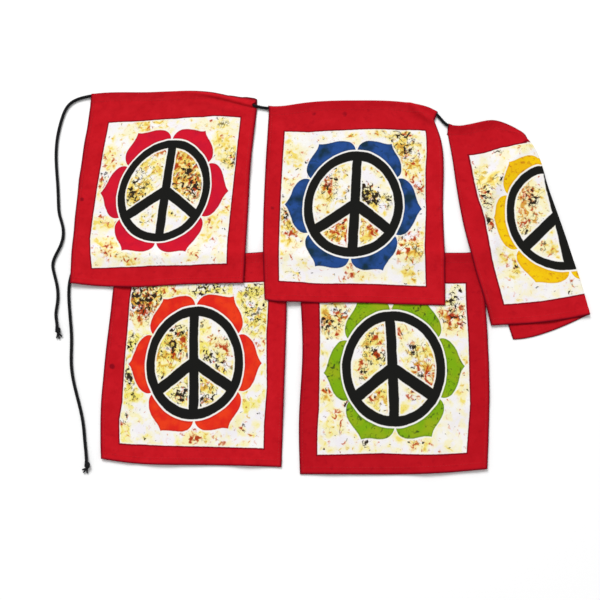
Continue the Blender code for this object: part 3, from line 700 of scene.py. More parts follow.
# How far the sleeve's top edge stands off the cord: share of the flag's width, distance.
TOP_EDGE = {
    "flag_1": ((0, 3), (0.06, 2.4), (0.38, 2.5), (0.5, 3.3), (0.62, 4.5), (0.72, 5.6), (0.82, 5.9),
               (0.845, 7), (0.9, 8.2), (0.93, 10.4), (0.975, 11.4), (1, 10.2)),
    "flag_2": ((0, 4.2), (0.1, 3.4), (0.3, 3), (0.7, 3), (0.9, 3.6), (1, 4.2)),
    "flag_4": ((0, 3.6), (1, 3.6)),
    "flag_5": ((0, 3.6), (1, 3.6)),
}

# How far below the cord the two layers of flag 1's sleeve are sewn together: share, distance.
TAILS = ((0, SLEEVE_TAIL), (0.52, SLEEVE_TAIL), (0.66, 6), (0.75, 3.7), (1, 3.2))

# How far each mouth's cloth is drawn inward along the cord, at the sleeve's folded edge and at the
# sewn side, at the start and at the end of the sleeve.
MOUTHS = {
    "flag_1": ((1.5, -0.8), (1, -2.6)),
    "flag_2": ((-1.3, 0), (1.8, -2.4)),
    "flag_3": ((-1.2, 2.4), (0, 0)),
}

# How flag 3's cloth leaves its sleeve as it turns over: distance from the cord's turn,
# sideways and upward place of the cloth beside the cord, its leaving angle, and the
# sideways and upward place of the sleeve's own folded edge.
TURN_OVER = (
    (-200, SLEEVE_TAIL, -3, 0, -2.2, -2.9),
    (-104, SLEEVE_TAIL, -3, 0, -2.6, -2.9),
    (-88, SLEEVE_TAIL, -3, 0, -3.6, -2.9),
    (-66, SLEEVE_TAIL, -3, 0, -3, -2.9),
    (-56, SLEEVE_TAIL, -3, 0, -2.3, -2.9),
    (-36, 8, 0.5, 5, -2.2, -2.9),
    (-20, 5, 3.6, 0, -3.2, -2.9),
    (-8, 1.5, 4.4, 0, -5.2, -3.3),
    (-3, 0, 4.5, 0, -5, -3.4),
    (-1.5, -3.1, 3.2, 45, -3.8, -3.4),
    (0, -4.5, 0, 90, -2.4, -3.4),
    (1.5, -4.3, -2.1, 135, 1.2, -3.2),
    (3, -5.2, -3, 180, 2, -2.9),
    (20, -7, -3, 180, 3.6, -2.9),
    (200, -7, -3, 180, 3.6, -2.9),
)


def read_table(table, where):
    """Return a table's other columns at values of its first, read between its rows."""
    first, *others = zip(*table)
    return [np.interp(where, first, column) for column in others]


print("flags", sorted(EDGES))

# %% [markdown]
# A sheet is a grid: columns run down the flag and rows across it. Lines of the grid are set close
# together beside the hems, where the cloth steps up, and evenly over the rest. The first rows wrap
# round the cord as the sleeve. Seen end-on, the sleeve is a circle drawn out to two tips: the tail,
# where the two layers are sewn together, and the sleeve's own folded edge.

# %% Grid lines and the sleeve's section
SIDE_HEM = 5.2
BOTTOM_HEM = 9.0
GRID_STEP = 2.3
HEM_LINES = (0.0, 0.2, 0.5, 1.0, 1.8, 2.8, 3.6, 4.4, 5.0, 5.5, 6.4, 7.6)
DEEP_HEM_LINES = (0.0, 0.2, 0.5, 1.0, 2.0, 3.4, 5.0, 6.4, 7.4, 8.2, 8.8, 9.4, 10.4, 11.8)
SLEEVE_STEPS = 14
SEAM_GAP = 0.56


def grid_shares(length, near_start, near_end):
    """Return shares along a length, close together by its hems."""
    first = np.array(near_start)
    last = length - np.array(near_end)[::-1]
    count = max(2, int((last[0] - first[-1]) / GRID_STEP))
    middle = np.linspace(first[-1], last[0], count + 1)[1:-1]
    return np.concatenate([first, middle, last]) / length


def drawn_out(angle, tip_angle, tip_distance):
    """Return how far the sleeve's circle drawn out to a tip reaches at an angle."""
    ratio = np.clip(SLEEVE_RADIUS / np.maximum(tip_distance, SLEEVE_RADIUS), 0.0, 1.0)
    tangent = np.arccos(ratio)
    off_tip = np.abs((angle - tip_angle + math.pi) % (2.0 * math.pi) - math.pi)
    lean = np.clip(tangent - off_tip, 0.0, None)
    return SLEEVE_RADIUS / np.cos(lean)


def sleeve_rows(tail, leaving, edge):
    """Return the sleeve's outlines, from the sewn flap round the cord to the sheet.

    Each is a row of sideways and upward places around the cord, one outline for each column.
    """
    tail = np.array(tail).T
    edge = np.array(edge).T
    tail_angle = np.arctan2(tail[:, 1], tail[:, 0])
    tail_angle = np.where(tail_angle < -0.5 * math.pi, tail_angle + 2.0 * math.pi, tail_angle)
    edge_angle = np.arctan2(edge[:, 1], edge[:, 0])
    edge_angle = np.where(edge_angle < tail_angle, edge_angle + 2.0 * math.pi, edge_angle)
    shares = np.linspace(0.0, 1.0, SLEEVE_STEPS + 1)[:, None]
    over = tail_angle + (edge_angle - tail_angle) * shares
    beneath = edge_angle + (tail_angle + 2.0 * math.pi - edge_angle) * shares
    angles = np.concatenate([over[1:], beneath[1:-1]])
    reach = np.maximum(
        drawn_out(angles, tail_angle, np.hypot(*tail.T)),
        drawn_out(angles, edge_angle, np.hypot(*edge.T)),
    )
    around = np.stack([np.cos(angles) * reach, np.sin(angles) * reach], axis=-1)
    face = np.stack([-np.sin(leaving), np.cos(leaving)], axis=-1)
    start = tail + face * 0.5 * SEAM_GAP
    end = tail - face * 0.5 * SEAM_GAP
    rows = np.concatenate([start[None], around, end[None]])
    return rows[::-1].transpose(1, 0, 2)


print("rows in a sleeve", 2 * SLEEVE_STEPS + 1)

# %% [markdown]
# Below the sleeve the cloth is a patch between four smooth edges, much the same as the part's. The
# upper flags lie over the tops of the lower ones, over the cord and over the lower sleeves. Their
# height comes from a simple picture of what cloth does: each spot takes the mean of its neighbours,
# sags a little under its own weight, and never goes below what it lies on. Repeated a few hundred
# times, the sheet hangs in soft tents over every ridge. Creases are added afterwards.

# %% What lies beneath, and how the cloth settles on it
SETTLE_PASSES = 700
SETTLE_SAG = 0.012
SETTLE_SIZE = (90, 100)
BLUR_PASSES = 6
UNDER_SHEET = 1.35
LAY_GAP = 0.6
RAY_HEIGHT = 60.0
TURNED_SLEEVE_RADIUS = 3.1


def distance_to_line(points, line):
    """Return the distances from points to a line, in plan."""
    line = np.asarray(line, dtype=float)
    best = np.full(points.shape[:-1], 1e9)
    for a, b in zip(line[:-1], line[1:]):
        along = b - a
        share = np.clip(((points - a) @ along) / max(along @ along, 1e-9), 0.0, 1.0)
        best = np.minimum(best, np.linalg.norm(points - a - share[..., None] * along, axis=-1))
    return best


def inside(points, outline):
    """Tell which points lie inside a closed outline, in plan."""
    outline = np.asarray(outline, dtype=float)
    result = np.zeros(points.shape[:-1], dtype=bool)
    for a, b in zip(outline, np.roll(outline, -1, axis=0)):
        if abs(b[1] - a[1]) < 1e-9:
            continue
        spans = (a[1] > points[..., 1]) != (b[1] > points[..., 1])
        crossing = a[0] + (points[..., 1] - a[1]) / (b[1] - a[1]) * (b[0] - a[0])
        result ^= spans & (points[..., 0] < crossing)
    return result


def round_ridge(points, line, radius):
    """Return the lowest height of a cloth's middle that clears a sleeve along a line."""
    away = distance_to_line(points, line)
    rise = np.sqrt(np.clip(radius**2 - away**2, 0.0, None))
    return np.where(away < radius, SLEEVE_CORD_Z + rise, 0.0)


def tops_below(points, pieces):
    """Return the height of the highest piece under each point, from rays sent straight down."""
    heights = np.zeros(points.shape[:-1])
    graph = bpy.context.evaluated_depsgraph_get()
    trees = [BVHTree.FromObject(piece, graph) for piece in pieces]
    spots = (np.concatenate([points, np.full((*points.shape[:-1], 1), RAY_HEIGHT)], axis=-1) + SHIFT) * MM
    for place in np.ndindex(heights.shape):
        for tree in trees:
            hit = tree.ray_cast(Vector(spots[place]), Vector((0.0, 0.0, -1.0)))[0]
            if hit is not None:
                heights[place] = max(heights[place], hit.z / MM)
    wide = np.pad(heights, 1, mode="edge")
    rows, columns = heights.shape
    for i, j in np.ndindex(3, 3):
        heights = np.maximum(heights, wide[i:i + rows, j:j + columns])
    return heights


def sheet_floor(points, name, below):
    """Return the lowest height of a flag's middle over what lies beneath it."""
    floor = np.full(points.shape[:-1], REST_Z)
    if below:
        tops = tops_below(points, below)
        floor = np.where(tops > 0.0, np.maximum(floor, tops + LAY_GAP), floor)
    if name == "flag_3":
        floor = np.maximum(floor, np.where(inside(points, under_outline()), UNDER_SHEET, 0.0))
        floor = np.maximum(floor, round_ridge(points, turned_sleeve(), TURNED_SLEEVE_RADIUS))
    return floor


def settle(floor, top, last_column=None):
    """Return the heights of a sheet that has sunk onto its floor, by column and row."""
    height = np.maximum(floor, REST_Z) + 2.0
    height[:, 0] = top
    for turn in range(SETTLE_PASSES + BLUR_PASSES):
        wide = np.pad(height, 1, mode="edge")
        mean = 0.25 * (wide[:-2, 1:-1] + wide[2:, 1:-1] + wide[1:-1, :-2] + wide[1:-1, 2:])
        if turn < SETTLE_PASSES:
            height = np.maximum(floor, mean - SETTLE_SAG)
        else:
            height = np.maximum(floor - 0.1, 0.5 * (height + mean))
        height[:, 0] = top
        if last_column is not None:
            height[-1] = last_column
    return height


def read_grid(values, across, down):
    """Return a uniform grid of values read at other shares across and down."""
    columns = across * (values.shape[0] - 1)
    rows = down * (values.shape[1] - 1)
    i = np.clip(columns.astype(int), 0, values.shape[0] - 2)
    j = np.clip(rows.astype(int), 0, values.shape[1] - 2)
    a = (columns - i)[:, None]
    b = (rows - j)[None, :]
    near = values[i][:, j] * (1 - a) * (1 - b) + values[i + 1][:, j] * a * (1 - b)
    return near + values[i][:, j + 1] * (1 - a) * b + values[i + 1][:, j + 1] * a * b


print("settling passes", SETTLE_PASSES)

# %% [markdown]
# Creases read from the photo. Each is a soft ridge along a short line, in pixels of the picture,
# with its half width and its height in millimetres. Low swells, about a millimetre high and five to
# twelve centimetres apart, keep the cloth from lying like card, and the free hems curl up a little.

# %% Creases and swells
# x, y, x, y, half width, height
CREASES = {
    "flag_1": (
        (128, 250, 175, 262, 9, 0.8),
        (230, 140, 246, 190, 9, 0.9),
        (96, 110, 150, 104, 6, 0.6),
        (80, 180, 88, 260, 8, 0.8),
        (200, 102, 252, 115, 4.5, 1.5),
        (190, 270, 238, 262, 8, 0.7),
    ),
    "flag_2": (
        (409, 106, 430, 122, 4.2, 4.4),
        (281, 115, 292, 121, 4, 0.9),
        (428, 150, 440, 235, 9, 0.9),
        (268, 150, 272, 240, 8, 0.8),
        (300, 292, 370, 296, 8, 0.7),
    ),
    "flag_3": (
        (476, 150, 500, 162, 7, 1),
        (556, 262, 575, 285, 8, 1.6),
        (492, 235, 500, 300, 8, 0.8),
    ),
    "flag_4": (
        (478, 300, 482, 400, 9, 1),
        (306, 380, 309, 460, 8, 0.8),
        (340, 466, 440, 468, 7, 0.7),
    ),
    "flag_5": (
        (112, 300, 108, 400, 9, 0.9),
        (274, 330, 276, 440, 8, 0.8),
        (130, 455, 240, 460, 7, 0.7),
    ),
}
SWELL_HEIGHT = 1.1
CURL_HEIGHT = 2.6
CURL_REACH = 8.0

# Each swell's length and the angle of its way.
SWELLS = ((83, 0.4), (61, 1.9), (47, 3.4), (118, 5.2))

# How far down a sheet it is held flat by its sleeve, as a share of its length.
HELD_SHARE = 0.12


def soft_lines(points, rows):
    """Return the summed height of creases at points of the table."""
    total = np.zeros(points.shape[:-1])
    for x1, y1, x2, y2, half_width, height in rows:
        start, end = on_table(x1, y1), on_table(x2, y2)
        along = end - start
        share = ((points - start) @ along) / (along @ along)
        nearest = start + np.clip(share, 0.0, 1.0)[..., None] * along
        away = np.linalg.norm(points - nearest, axis=-1)
        fade = 1.0 - ease(np.abs(share - 0.5) * 2.0 - 0.5)
        total += height * np.exp(-(away / half_width) ** 2) * (0.35 + 0.65 * fade)
    return total


def swells(points, seed):
    """Return low uneven swells at points of the table."""
    total = np.zeros(points.shape[:-1])
    for length, angle in SWELLS:
        way = np.array([math.cos(angle + seed), math.sin(angle + seed)])
        total += np.sin(2.0 * math.pi * (points @ way) / length + 7.0 * seed + angle)
    return SWELL_HEIGHT * ease(0.5 + total / 4.0)


def curl(points, to_edge, down, seed):
    """Return how far the free hems lift off, unevenly, by their distance to the cloth's edge."""
    near = np.exp(-to_edge / CURL_REACH) * ease(down / HELD_SHARE)[None, :]
    return CURL_HEIGHT * near * (0.3 + 0.7 * swells(points, seed + 0.6) / SWELL_HEIGHT)


print("creases", sum(map(len, CREASES.values())))

# %% [markdown]
# Now the sheets themselves. A flat flag and the folded one differ only in where their columns go,
# so both give the same thing: a grid of points for the middle of the cloth, and for each column and
# row its place in the flat cloth. The grid's columns run from left to right for every flag.

# %% The middle of each cloth
FOLD_SAMPLES = 13
FOLD_SPAN = 3.0
FOLD_LINES = (0.0, 1.2, 2.6)
FOLD_RADIUS_TOP = 3.4
FOLD_RADIUS_HEM = 2.2
BLEND = 0.05
FOLD_FADE = 0.1
FOLDED_SWELL = 0.6
MOUTH_REACH = 12.0
FLAP_ROWS = (2.6, 1.3)
FIRST_ROWS = (0.0, 1.0, 2.1, 3.4, 5.0, 7.0)
SHEET_DROP = 255.0
LINE_STEP = 3.0

# How much deeper the cloth over the cord is drawn in at each mouth.
NOTCH = 0.8
NOTCHES = {"flag_1": (NOTCH, 6.5), "flag_3": (NOTCH, 0.0)}


def coons(top, hem, first, last, across, down):
    """Return the points of the patch between four edges, by column and row."""
    a = across[:, None, None]
    d = down[None, :, None]
    corners = np.array([0.0, 1.0])
    top_ends, hem_ends = top(corners), hem(corners)
    ruled = (1.0 - d) * top(across)[:, None] + d * hem(across)[:, None]
    sides = (1.0 - a) * first(down)[None] + a * last(down)[None]
    start = (1.0 - d) * top_ends[0] + d * hem_ends[0]
    end = (1.0 - d) * top_ends[1] + d * hem_ends[1]
    return ruled + sides - (1.0 - a) * start - a * end


def straight_reader(shares, points):
    """Return a function that reads straight lines between points with given shares."""
    return lambda where: np.stack([np.interp(where, shares, c) for c in np.array(points).T], axis=-1)


def down_shares():
    """Return the shares down the sheet at which rows lie."""
    return grid_shares(SHEET_DROP, FIRST_ROWS, DEEP_HEM_LINES)


def even_shares():
    """Return the shares across and down at which a sheet settles."""
    return [np.linspace(0.0, 1.0, count) for count in SETTLE_SIZE]


def settled_sheet(name, seed, below, bounds, across, down, length, top, fold=None):
    """Return a sheet's middle between four edges, settled, creased and curled.

    Its height is given along its top, and along its last side where that is a fold.
    """
    even_across, even_down = even_shares()
    plan = coons(*bounds, even_across, even_down)
    floor = sheet_floor(plan, name, below)
    folded = fold is not None
    free = ease(even_down / HELD_SHARE)[None, :]
    loose = (FOLDED_SWELL if folded else 1.0) * swells(plan, seed) * free
    height = settle(np.maximum(floor, REST_Z + loose), top, fold)
    from_side = even_across if folded else np.minimum(even_across, 1.0 - even_across)
    to_edge = np.minimum(from_side[:, None] * length, (1.0 - even_down)[None, :] * SHEET_DROP)
    creased = soft_lines(plan, CREASES[name]) * (free if folded else 1.0)
    creased += curl(plan, to_edge, even_down, seed)
    if folded:
        creased *= ease((1.0 - even_across) / FOLD_FADE)[:, None]
    height = read_grid(np.maximum(height + creased, floor), across, down)
    return np.concatenate([coons(*bounds, across, down), height[..., None]], axis=-1)


def wrap_rows(places, name, tail, leaving, edge):
    """Return the sleeve's rows in space, the flap's rows first, and the tail's points."""
    cloth_side = CLOTH_SIDE.get(name, 1)
    centres = np.column_stack([cord_line.at(places), np.full(len(places), SLEEVE_CORD_Z)])
    aside = np.column_stack([cord_line.aside(places, name) * cloth_side, np.zeros(len(places))])
    outline = sleeve_rows(tail, leaving, edge)[:, :-1]
    ahead = np.stack([np.cos(leaving), np.sin(leaving)], axis=-1)
    flap = [outline[:, 0] + ahead * reach for reach in FLAP_ROWS]
    outline = np.concatenate([np.stack(flap, axis=1), outline], axis=1)
    up = np.array([0.0, 0.0, 1.0])
    rows = centres[:, None] + aside[:, None] * outline[..., :1] + up * outline[..., 1:]
    ahead_of = np.column_stack([-aside[:, 1], aside[:, 0], np.zeros(len(places))]) * cloth_side
    tails = centres + aside * np.array(tail)[0][:, None] + up * np.array(tail)[1][:, None]
    from_edge = (outline[..., 0] - edge[0][:, None]) / (tail[0] - edge[0])[:, None]
    near_cord = np.exp(-(outline[..., 0] / 4.0) ** 2) * (outline[..., 1] > 0.4)
    mouths = MOUTHS.get(name, ((0.0, 0.0), (0.0, 0.0)))
    for side, (at_edge, at_tail), notch in zip((0, 1), mouths, NOTCHES.get(name, (NOTCH, NOTCH))):
        inward = np.clip(1.0 - np.abs(places - places[-side]) / MOUTH_REACH, 0.0, 1.0) ** 2
        inward = inward[:, None] * (1.0 - 2.0 * side)
        pull = at_edge + (at_tail - at_edge) * np.clip(from_edge, 0.0, 1.0) + notch * near_cord
        rows += ahead_of[:, None] * (inward * pull)[..., None]
        tails += ahead_of * inward * at_tail
    return rows, tails


def flat_sheet(name, seed, below):
    """Return the middle of a flag that lies flat: its sleeve's rows and its sheet's rows."""
    start, end = cord_line.stretch[name]
    across = grid_shares(end - start, HEM_LINES, HEM_LINES)
    places = start + across * (end - start)
    edge = read_table(TOP_EDGE[name], across)[0]
    tail = np.maximum(SHORTEST_TAIL, SLEEVE_TAIL + 3.5 - edge)
    if name == "flag_1":
        tail = read_table(TAILS, across)[0]
    low = np.full_like(edge, SEAM_Z - SLEEVE_CORD_Z)
    level = np.zeros_like(edge)
    wrap, tails = wrap_rows(places, name, (tail, low), level, (-edge, low - 0.6))
    edges = EDGES[name]
    bounds = (
        straight_reader(across, tails[:, :2]),
        SmoothLine([edges["first_side"][-1], *edges["hem"], edges["last_side"][-1]]).at,
        SmoothLine([tails[0, :2], *edges["first_side"]]).at,
        SmoothLine([tails[-1, :2], *edges["last_side"]]).at,
    )
    down = down_shares()
    top = np.full(SETTLE_SIZE[0], SEAM_Z + 0.5 * SEAM_GAP)
    sheet = settled_sheet(name, seed, below, bounds, across, down, end - start, top)
    upper = ease((np.arange(wrap.shape[1]) - len(FLAP_ROWS) - SLEEVE_STEPS) / 6.0)
    wrap[..., 2] += soft_lines(wrap[..., :2], CREASES[name]) * upper
    if CLOTH_SIDE[name] < 0:
        wrap, sheet, across = wrap[::-1], sheet[::-1], 1.0 - across[::-1]
    return wrap, sheet, across, down


def fold_turn():
    """Return how far along the cord flag 3 turns over."""
    away = np.linalg.norm(cord_line.plan - FOLD_LINE.values[0], axis=1)
    return cord_line.lengths[int(np.argmin(away))]


def fold_place(down, inset):
    """Return places along flag 3's folded edge, set in from it, and the way outward."""
    here = FOLD_LINE.at(down)
    along = FOLD_LINE.at(np.minimum(1.0, down + 0.02)) - FOLD_LINE.at(np.maximum(0.0, down - 0.02))
    along /= np.linalg.norm(along, axis=-1, keepdims=True)
    outward = np.stack([-along[..., 1], along[..., 0]], axis=-1)
    return here - outward * (np.asarray(inset)[..., None] + 0.3), outward


def fold_radius(down):
    """Return the radius of flag 3's folded edge down the flag."""
    return FOLD_RADIUS_TOP + (FOLD_RADIUS_HEM - FOLD_RADIUS_TOP) * np.asarray(down)


def turned_sleeve():
    """Return the plan line of the part of flag 3's sleeve that is turned under."""
    turn, end = fold_turn(), cord_line.stretch["flag_3"][1]
    return cord_line.at(np.linspace(turn, end, int((end - turn) / LINE_STEP)))


def under_outline():
    """Return the plan outline of the part of flag 3 that is turned under."""
    edges = EDGES["flag_3"]
    return np.concatenate([
        fold_place(np.linspace(0.0, 1.0, 9), 0.0)[0],
        edges["under_hem"],
        edges["last_side"][::-1],
        turned_sleeve()[::-1],
    ])


def folded_sheet(name, seed, below):
    """Return the middle of flag 3: its front, its rounded fold and the part turned under."""
    start, end = cord_line.stretch[name]
    turn = fold_turn()
    edges = EDGES[name]
    down = down_shares()
    angles = np.linspace(0.0, math.pi, FOLD_SAMPLES)
    bend = turn + FOLD_SPAN * (angles / (0.5 * math.pi) - 1.0)
    front_length = bend[0] - start
    under_length = end - bend[-1]
    front_share = grid_shares(front_length, HEM_LINES, FOLD_LINES)
    under_share = grid_shares(under_length, FOLD_LINES, HEM_LINES)
    front = start + front_share * front_length
    under = bend[-1] + under_share * under_length
    places = np.concatenate([front[:-1], bend, under[1:]])
    tail_n, tail_b, leaving, edge_n, edge_b = read_table(TURN_OVER, places - turn)
    tail_b, edge_b = tail_b * SLEEVE_FLATNESS, edge_b * SLEEVE_FLATNESS
    leaving = np.radians(leaving)
    wrap, tails = wrap_rows(places, name, (tail_n, tail_b), leaving, (edge_n, edge_b))
    first_bend = len(front) - 1
    last_bend = first_bend + len(bend) - 1
    blend = ease(down / BLEND)[:, None]

    def fold_side(tail):
        def read(where):
            point = fold_place(where, fold_radius(where))[0]
            share = ease(np.asarray(where) / BLEND)[..., None]
            return tail[:2] * (1.0 - share) + point * share
        return read

    corner = fold_place(np.array(1.0), FOLD_RADIUS_HEM)[0]
    bounds = (
        straight_reader(front_share, tails[:first_bend + 1, :2]),
        SmoothLine([edges["first_side"][-1], *edges["hem"], corner]).at,
        SmoothLine([tails[0, :2], *edges["first_side"]]).at,
        fold_side(tails[first_bend]),
    )
    even_across, even_down = even_shares()
    tail_top = tails[:, 2] + np.cos(leaving) * 0.5 * SEAM_GAP
    fold_top = REST_Z + 2.0 * fold_radius(even_down)
    fold_top = fold_top + (tail_top[first_bend] - fold_top) * (1.0 - ease(even_down / BLEND))
    top_height = np.interp(even_across, front_share, tail_top[:first_bend + 1])
    front_sheet = settled_sheet(
        name, seed, below, bounds, front_share, down, front_length, top_height, fold_top)

    radius = fold_radius(down)
    centre, outward = fold_place(down, radius)
    bend_columns = []
    for k, angle in enumerate(angles):
        plan = centre + outward * (radius * math.sin(angle))[:, None]
        height = REST_Z + radius * (1.0 + math.cos(angle))
        column = np.column_stack([plan, height])
        tail = tails[first_bend + k] + np.array([0.0, 0.0, 0.5 * SEAM_GAP * math.cos(angle)])
        bend_columns.append(tail * (1.0 - blend) + column * blend)

    bounds = (
        straight_reader(under_share, tails[last_bend:, :2]),
        SmoothLine([corner, *edges["under_hem"], edges["last_side"][-1]]).at,
        fold_side(tails[last_bend]),
        SmoothLine([tails[-1, :2], *edges["last_side"]]).at,
    )
    under_plan = coons(*bounds, under_share, down)
    under_height = np.full((*under_plan.shape[:2], 1), REST_Z)
    under_sheet = np.concatenate([under_plan, under_height], axis=-1)
    sheet = np.concatenate([front_sheet[:-1], np.array(bend_columns), under_sheet[1:]])
    return wrap, sheet, (places - start) / (end - start), down


print("rows down a sheet", len(down_shares()))

# %% [markdown]
# The print is fixed to the cloth, not to the table. The edges of the pale panel are read from the
# photo; each point is found on the sheet's grid, which gives the share across and down at which the
# panel starts. Every point of the cloth then has its own place in the panel: 0 to 1 across and up,
# and beyond that in the border. On the folded flag the turned part carries on from the fold.

# %% Where each cloth's pattern lies
# The panel's edges in pixels. Flag 3 has no right one, since the panel carries on round its fold.
PANELS = {
    "flag_1": {
        "left": ((109.1, 122.3), (103.8, 150), (97, 190), (90.2, 238), (92.1, 267.8)),
        "right": ((240.4, 117.2), (235.7, 162), (231.4, 200), (227.2, 240), (226.4, 263.4)),
        "top": ((109.1, 123), (155, 120.2), (204, 117.3), (240.4, 117.7)),
        "bottom": ((92.1, 267.9), (120, 266.9), (150, 265.5), (188, 265.1), (227, 263.4)),
    },
    "flag_2": {
        "left": ((284.9, 131.7), (283.2, 156), (280.2, 214), (279, 258), (279.3, 280.5)),
        "right": ((425.2, 130.5), (425.3, 170), (425.8, 210), (424.5, 250), (425.7, 285.9)),
        "top": ((284.9, 131.7), (308, 132.6), (345, 130.5), (368, 129.4), (402, 130.4),
                (425, 131)),
        "bottom": ((279.3, 280.6), (312, 283), (362, 283.6), (425.7, 286)),
    },
    "flag_3": {
        "left": ((469.2, 155.1), (479, 200), (485.2, 219), (492, 257), (504.1, 304)),
        "top": ((469.2, 155.6), (485, 153.2), (507, 147.2), (528, 142)),
        "bottom": ((504.1, 304.2), (542, 300.9), (564, 297.2), (582, 293.9)),
    },
    "flag_4": {
        "left": ((319.6, 285), (319.6, 360), (319.2, 409), (317.7, 429), (317.4, 454.8)),
        "right": ((465.4, 283.7), (468.1, 336), (469, 372), (469.9, 404), (466.4, 452.8)),
        "top": ((320, 285), (393, 284), (466, 283.7)),
        "bottom": ((317.4, 454.6), (342, 454.2), (382, 453), (430, 454.4), (466.4, 452.6)),
    },
    "flag_5": {
        "left": ((132.6, 282), (129.9, 300), (126.9, 339), (122.6, 402), (119.4, 420), (119.9, 443.9)),
        "right": ((268.6, 282), (266.2, 335), (266.7, 388), (263.9, 424), (263.4, 448)),
        "top": ((132.8, 282), (200, 282), (269, 282)),
        "bottom": ((120.2, 443.2), (144, 444.4), (192, 446.2), (263.4, 448.2)),
    },
}

# Each flag's figure: the middle of the ring in pixels, and its reach across and up the panel. The
# middle of flag 3's lies on the fold, half way up.
RINGS = {
    "flag_1": (164.5, 190.5, 0.336, 0.345),
    "flag_2": (353.4, 203.8, 0.340, 0.347),
    "flag_3": (0.362, 0.345),
    "flag_4": (393.7, 368.0, 0.347, 0.341),
    "flag_5": (194.6, 362.1, 0.343, 0.344),
}

# Shares of the reach: half the width of the ring, of the bar and of the arms; how far the bar stands
# aside at the middle and at the top; how far the arms are raised and tilted; how egg-like the ring
# is and how far it leans.
LINES = {
    "flag_1": (0.080, 0.095, 0.101, 0.025, 0.010, 0.000, -0.040, 0.010, -0.008),
    "flag_2": (0.089, 0.098, 0.101, 0.035, 0.013, 0.000, -0.030, 0.035, -0.015),
    "flag_3": (0.075, 0.093, 0.101, -0.026, 0.047, 0.030, 0.000, 0.000, 0.025),
    "flag_4": (0.086, 0.098, 0.105, -0.022, -0.036, 0.000, 0.030, -0.010, 0.009),
    "flag_5": (0.087, 0.097, 0.101, -0.019, -0.051, 0.004, 0.065, 0.000, -0.006),
}

# Where the petals' tips and the gaps between petals lie, in pixels. They start with the right
# petal's tip and go round against the clock, a tip and then a gap. None stands for a hidden one.
PETAL_SPOTS = {
    "flag_1": ((228.6, 191.1), (210.4, 161.9), (205.9, 130.7), (171.9, 138.9), (138.3, 133.1),
               (127.1, 165.7), (100.4, 193.1), (119.3, 218.6), (121.4, 250.4), (155.7, 242.1),
               (185.3, 251.9), (202.1, 217.6)),
    "flag_2": ((421.9, 209.3), (398.6, 177.9), (391.9, 144), (356.4, 150.7), (319, 144),
               (310, 178.6), (284.7, 204.7), (308.6, 233.6), (315, 266.3), (350, 259.3),
               (383, 270.5), (396, 235.7)),
    "flag_3": (None, None, None, None, (507.4, 160.3), (506.4, 194.3), (493.9, 217.9),
               (517.1, 250.7), (535, 284.3), (569.6, 270.3), None, None),
    "flag_4": ((464.9, 366.1), (439.4, 337.9), None, (390.9, 308.6), None, (348.4, 340),
               (323.4, 373.1), (348.4, 400.7), (360.9, 439.7), (395.1, 428.6), (431.9, 436.7),
               (442, 399.3)),
    "flag_5": ((261.9, 363.1), (238.3, 334.3), (234, 296.4), (196.1, 304.3), (163.3, 298.9),
               (152.1, 334.3), (128.3, 364), (150.4, 394.3), (160.4, 431.1), (194, 420),
               (228.3, 428.6), (238.3, 391.4)),
}

# How far a petal stands off the ring, as shares of the reach: its round body, and its pointed tip.
PETAL_BODY = 0.27
PETAL_TIP = 0.11
PETAL_TIPS = {"flag_3": 0.07}
PETAL_SWELL = (0.7, 1.3)

# How far across the panel flag 3 is folded, and how much further at its bottom than at its top.
FOLD_MIDDLE = 0.5
FOLD_LEAN = 0.082
PANEL_WIDTH = 188.0
PANEL_HEIGHT = 205.0


def grid_spot(sheet, across, down, pixel):
    """Return the shares across and down a sheet at which a pixel's point lies."""
    plan = sheet[..., :2]
    target = on_table(*pixel)
    for _ in range(2):
        away = np.linalg.norm(plan - target, axis=-1)
        i, j = np.unravel_index(int(np.argmin(away)), away.shape)
        target = on_table(*pixel, height=sheet[i, j, 2])
    i = min(max(i, 1), len(across) - 2)
    j = min(max(j, 1), len(down) - 2)
    step_across = (plan[i + 1, j] - plan[i - 1, j]) / (across[i + 1] - across[i - 1])
    step_down = (plan[i, j + 1] - plan[i, j - 1]) / (down[j + 1] - down[j - 1])
    shift = np.linalg.solve(np.column_stack([step_across, step_down]), target - plan[i, j])
    return across[i] + shift[0], down[j] + shift[1]


def print_places(name, wrap, sheet, across, down):
    """Return the place in the panel of every point, and the reader that a pixel's point needs."""
    columns = np.arange(len(across))
    if name == "flag_3":
        turn_share = (fold_turn() - cord_line.stretch[name][0]) / np.ptp(cord_line.stretch[name])
        columns = columns[across <= turn_share]
    part = sheet[columns]
    spots = {side: np.array([grid_spot(part, across[columns], down, pixel) for pixel in pixels])
             for side, pixels in PANELS[name].items()}

    def side_reader(side):
        key, value = (1, 0) if side in ("left", "right") else (0, 1)
        rows = spots[side][np.argsort(spots[side][:, key])]
        return lambda where: np.interp(where, rows[:, key], rows[:, value])

    sides = {side: side_reader(side) for side in spots}

    def read(share_across, share_down):
        bottom, left = sides["bottom"](share_across), sides["left"](share_down)
        q = (bottom - share_down) / (bottom - sides["top"](share_across))
        if name != "flag_3":
            return (share_across - left) / (sides["right"](share_down) - left), q
        fold = FOLD_MIDDLE + FOLD_LEAN * (0.5 - q)
        past = (share_across - turn_share) * np.ptp(cord_line.stretch[name]) / PANEL_WIDTH
        front = (share_across - left) / (turn_share - left)
        return np.where(share_across < turn_share, front * fold, fold + past), q

    wrap_steps = np.linalg.norm(np.diff(np.concatenate([wrap, sheet[:, :1]], axis=1), axis=1), axis=2)
    above = -np.cumsum(wrap_steps[:, ::-1], axis=1)[:, ::-1] / SHEET_DROP
    share_down = np.concatenate([above, np.broadcast_to(down, sheet.shape[:2])], axis=1)
    share_across = np.broadcast_to(across[:, None], share_down.shape)
    return read(share_across, share_down), read, part, columns


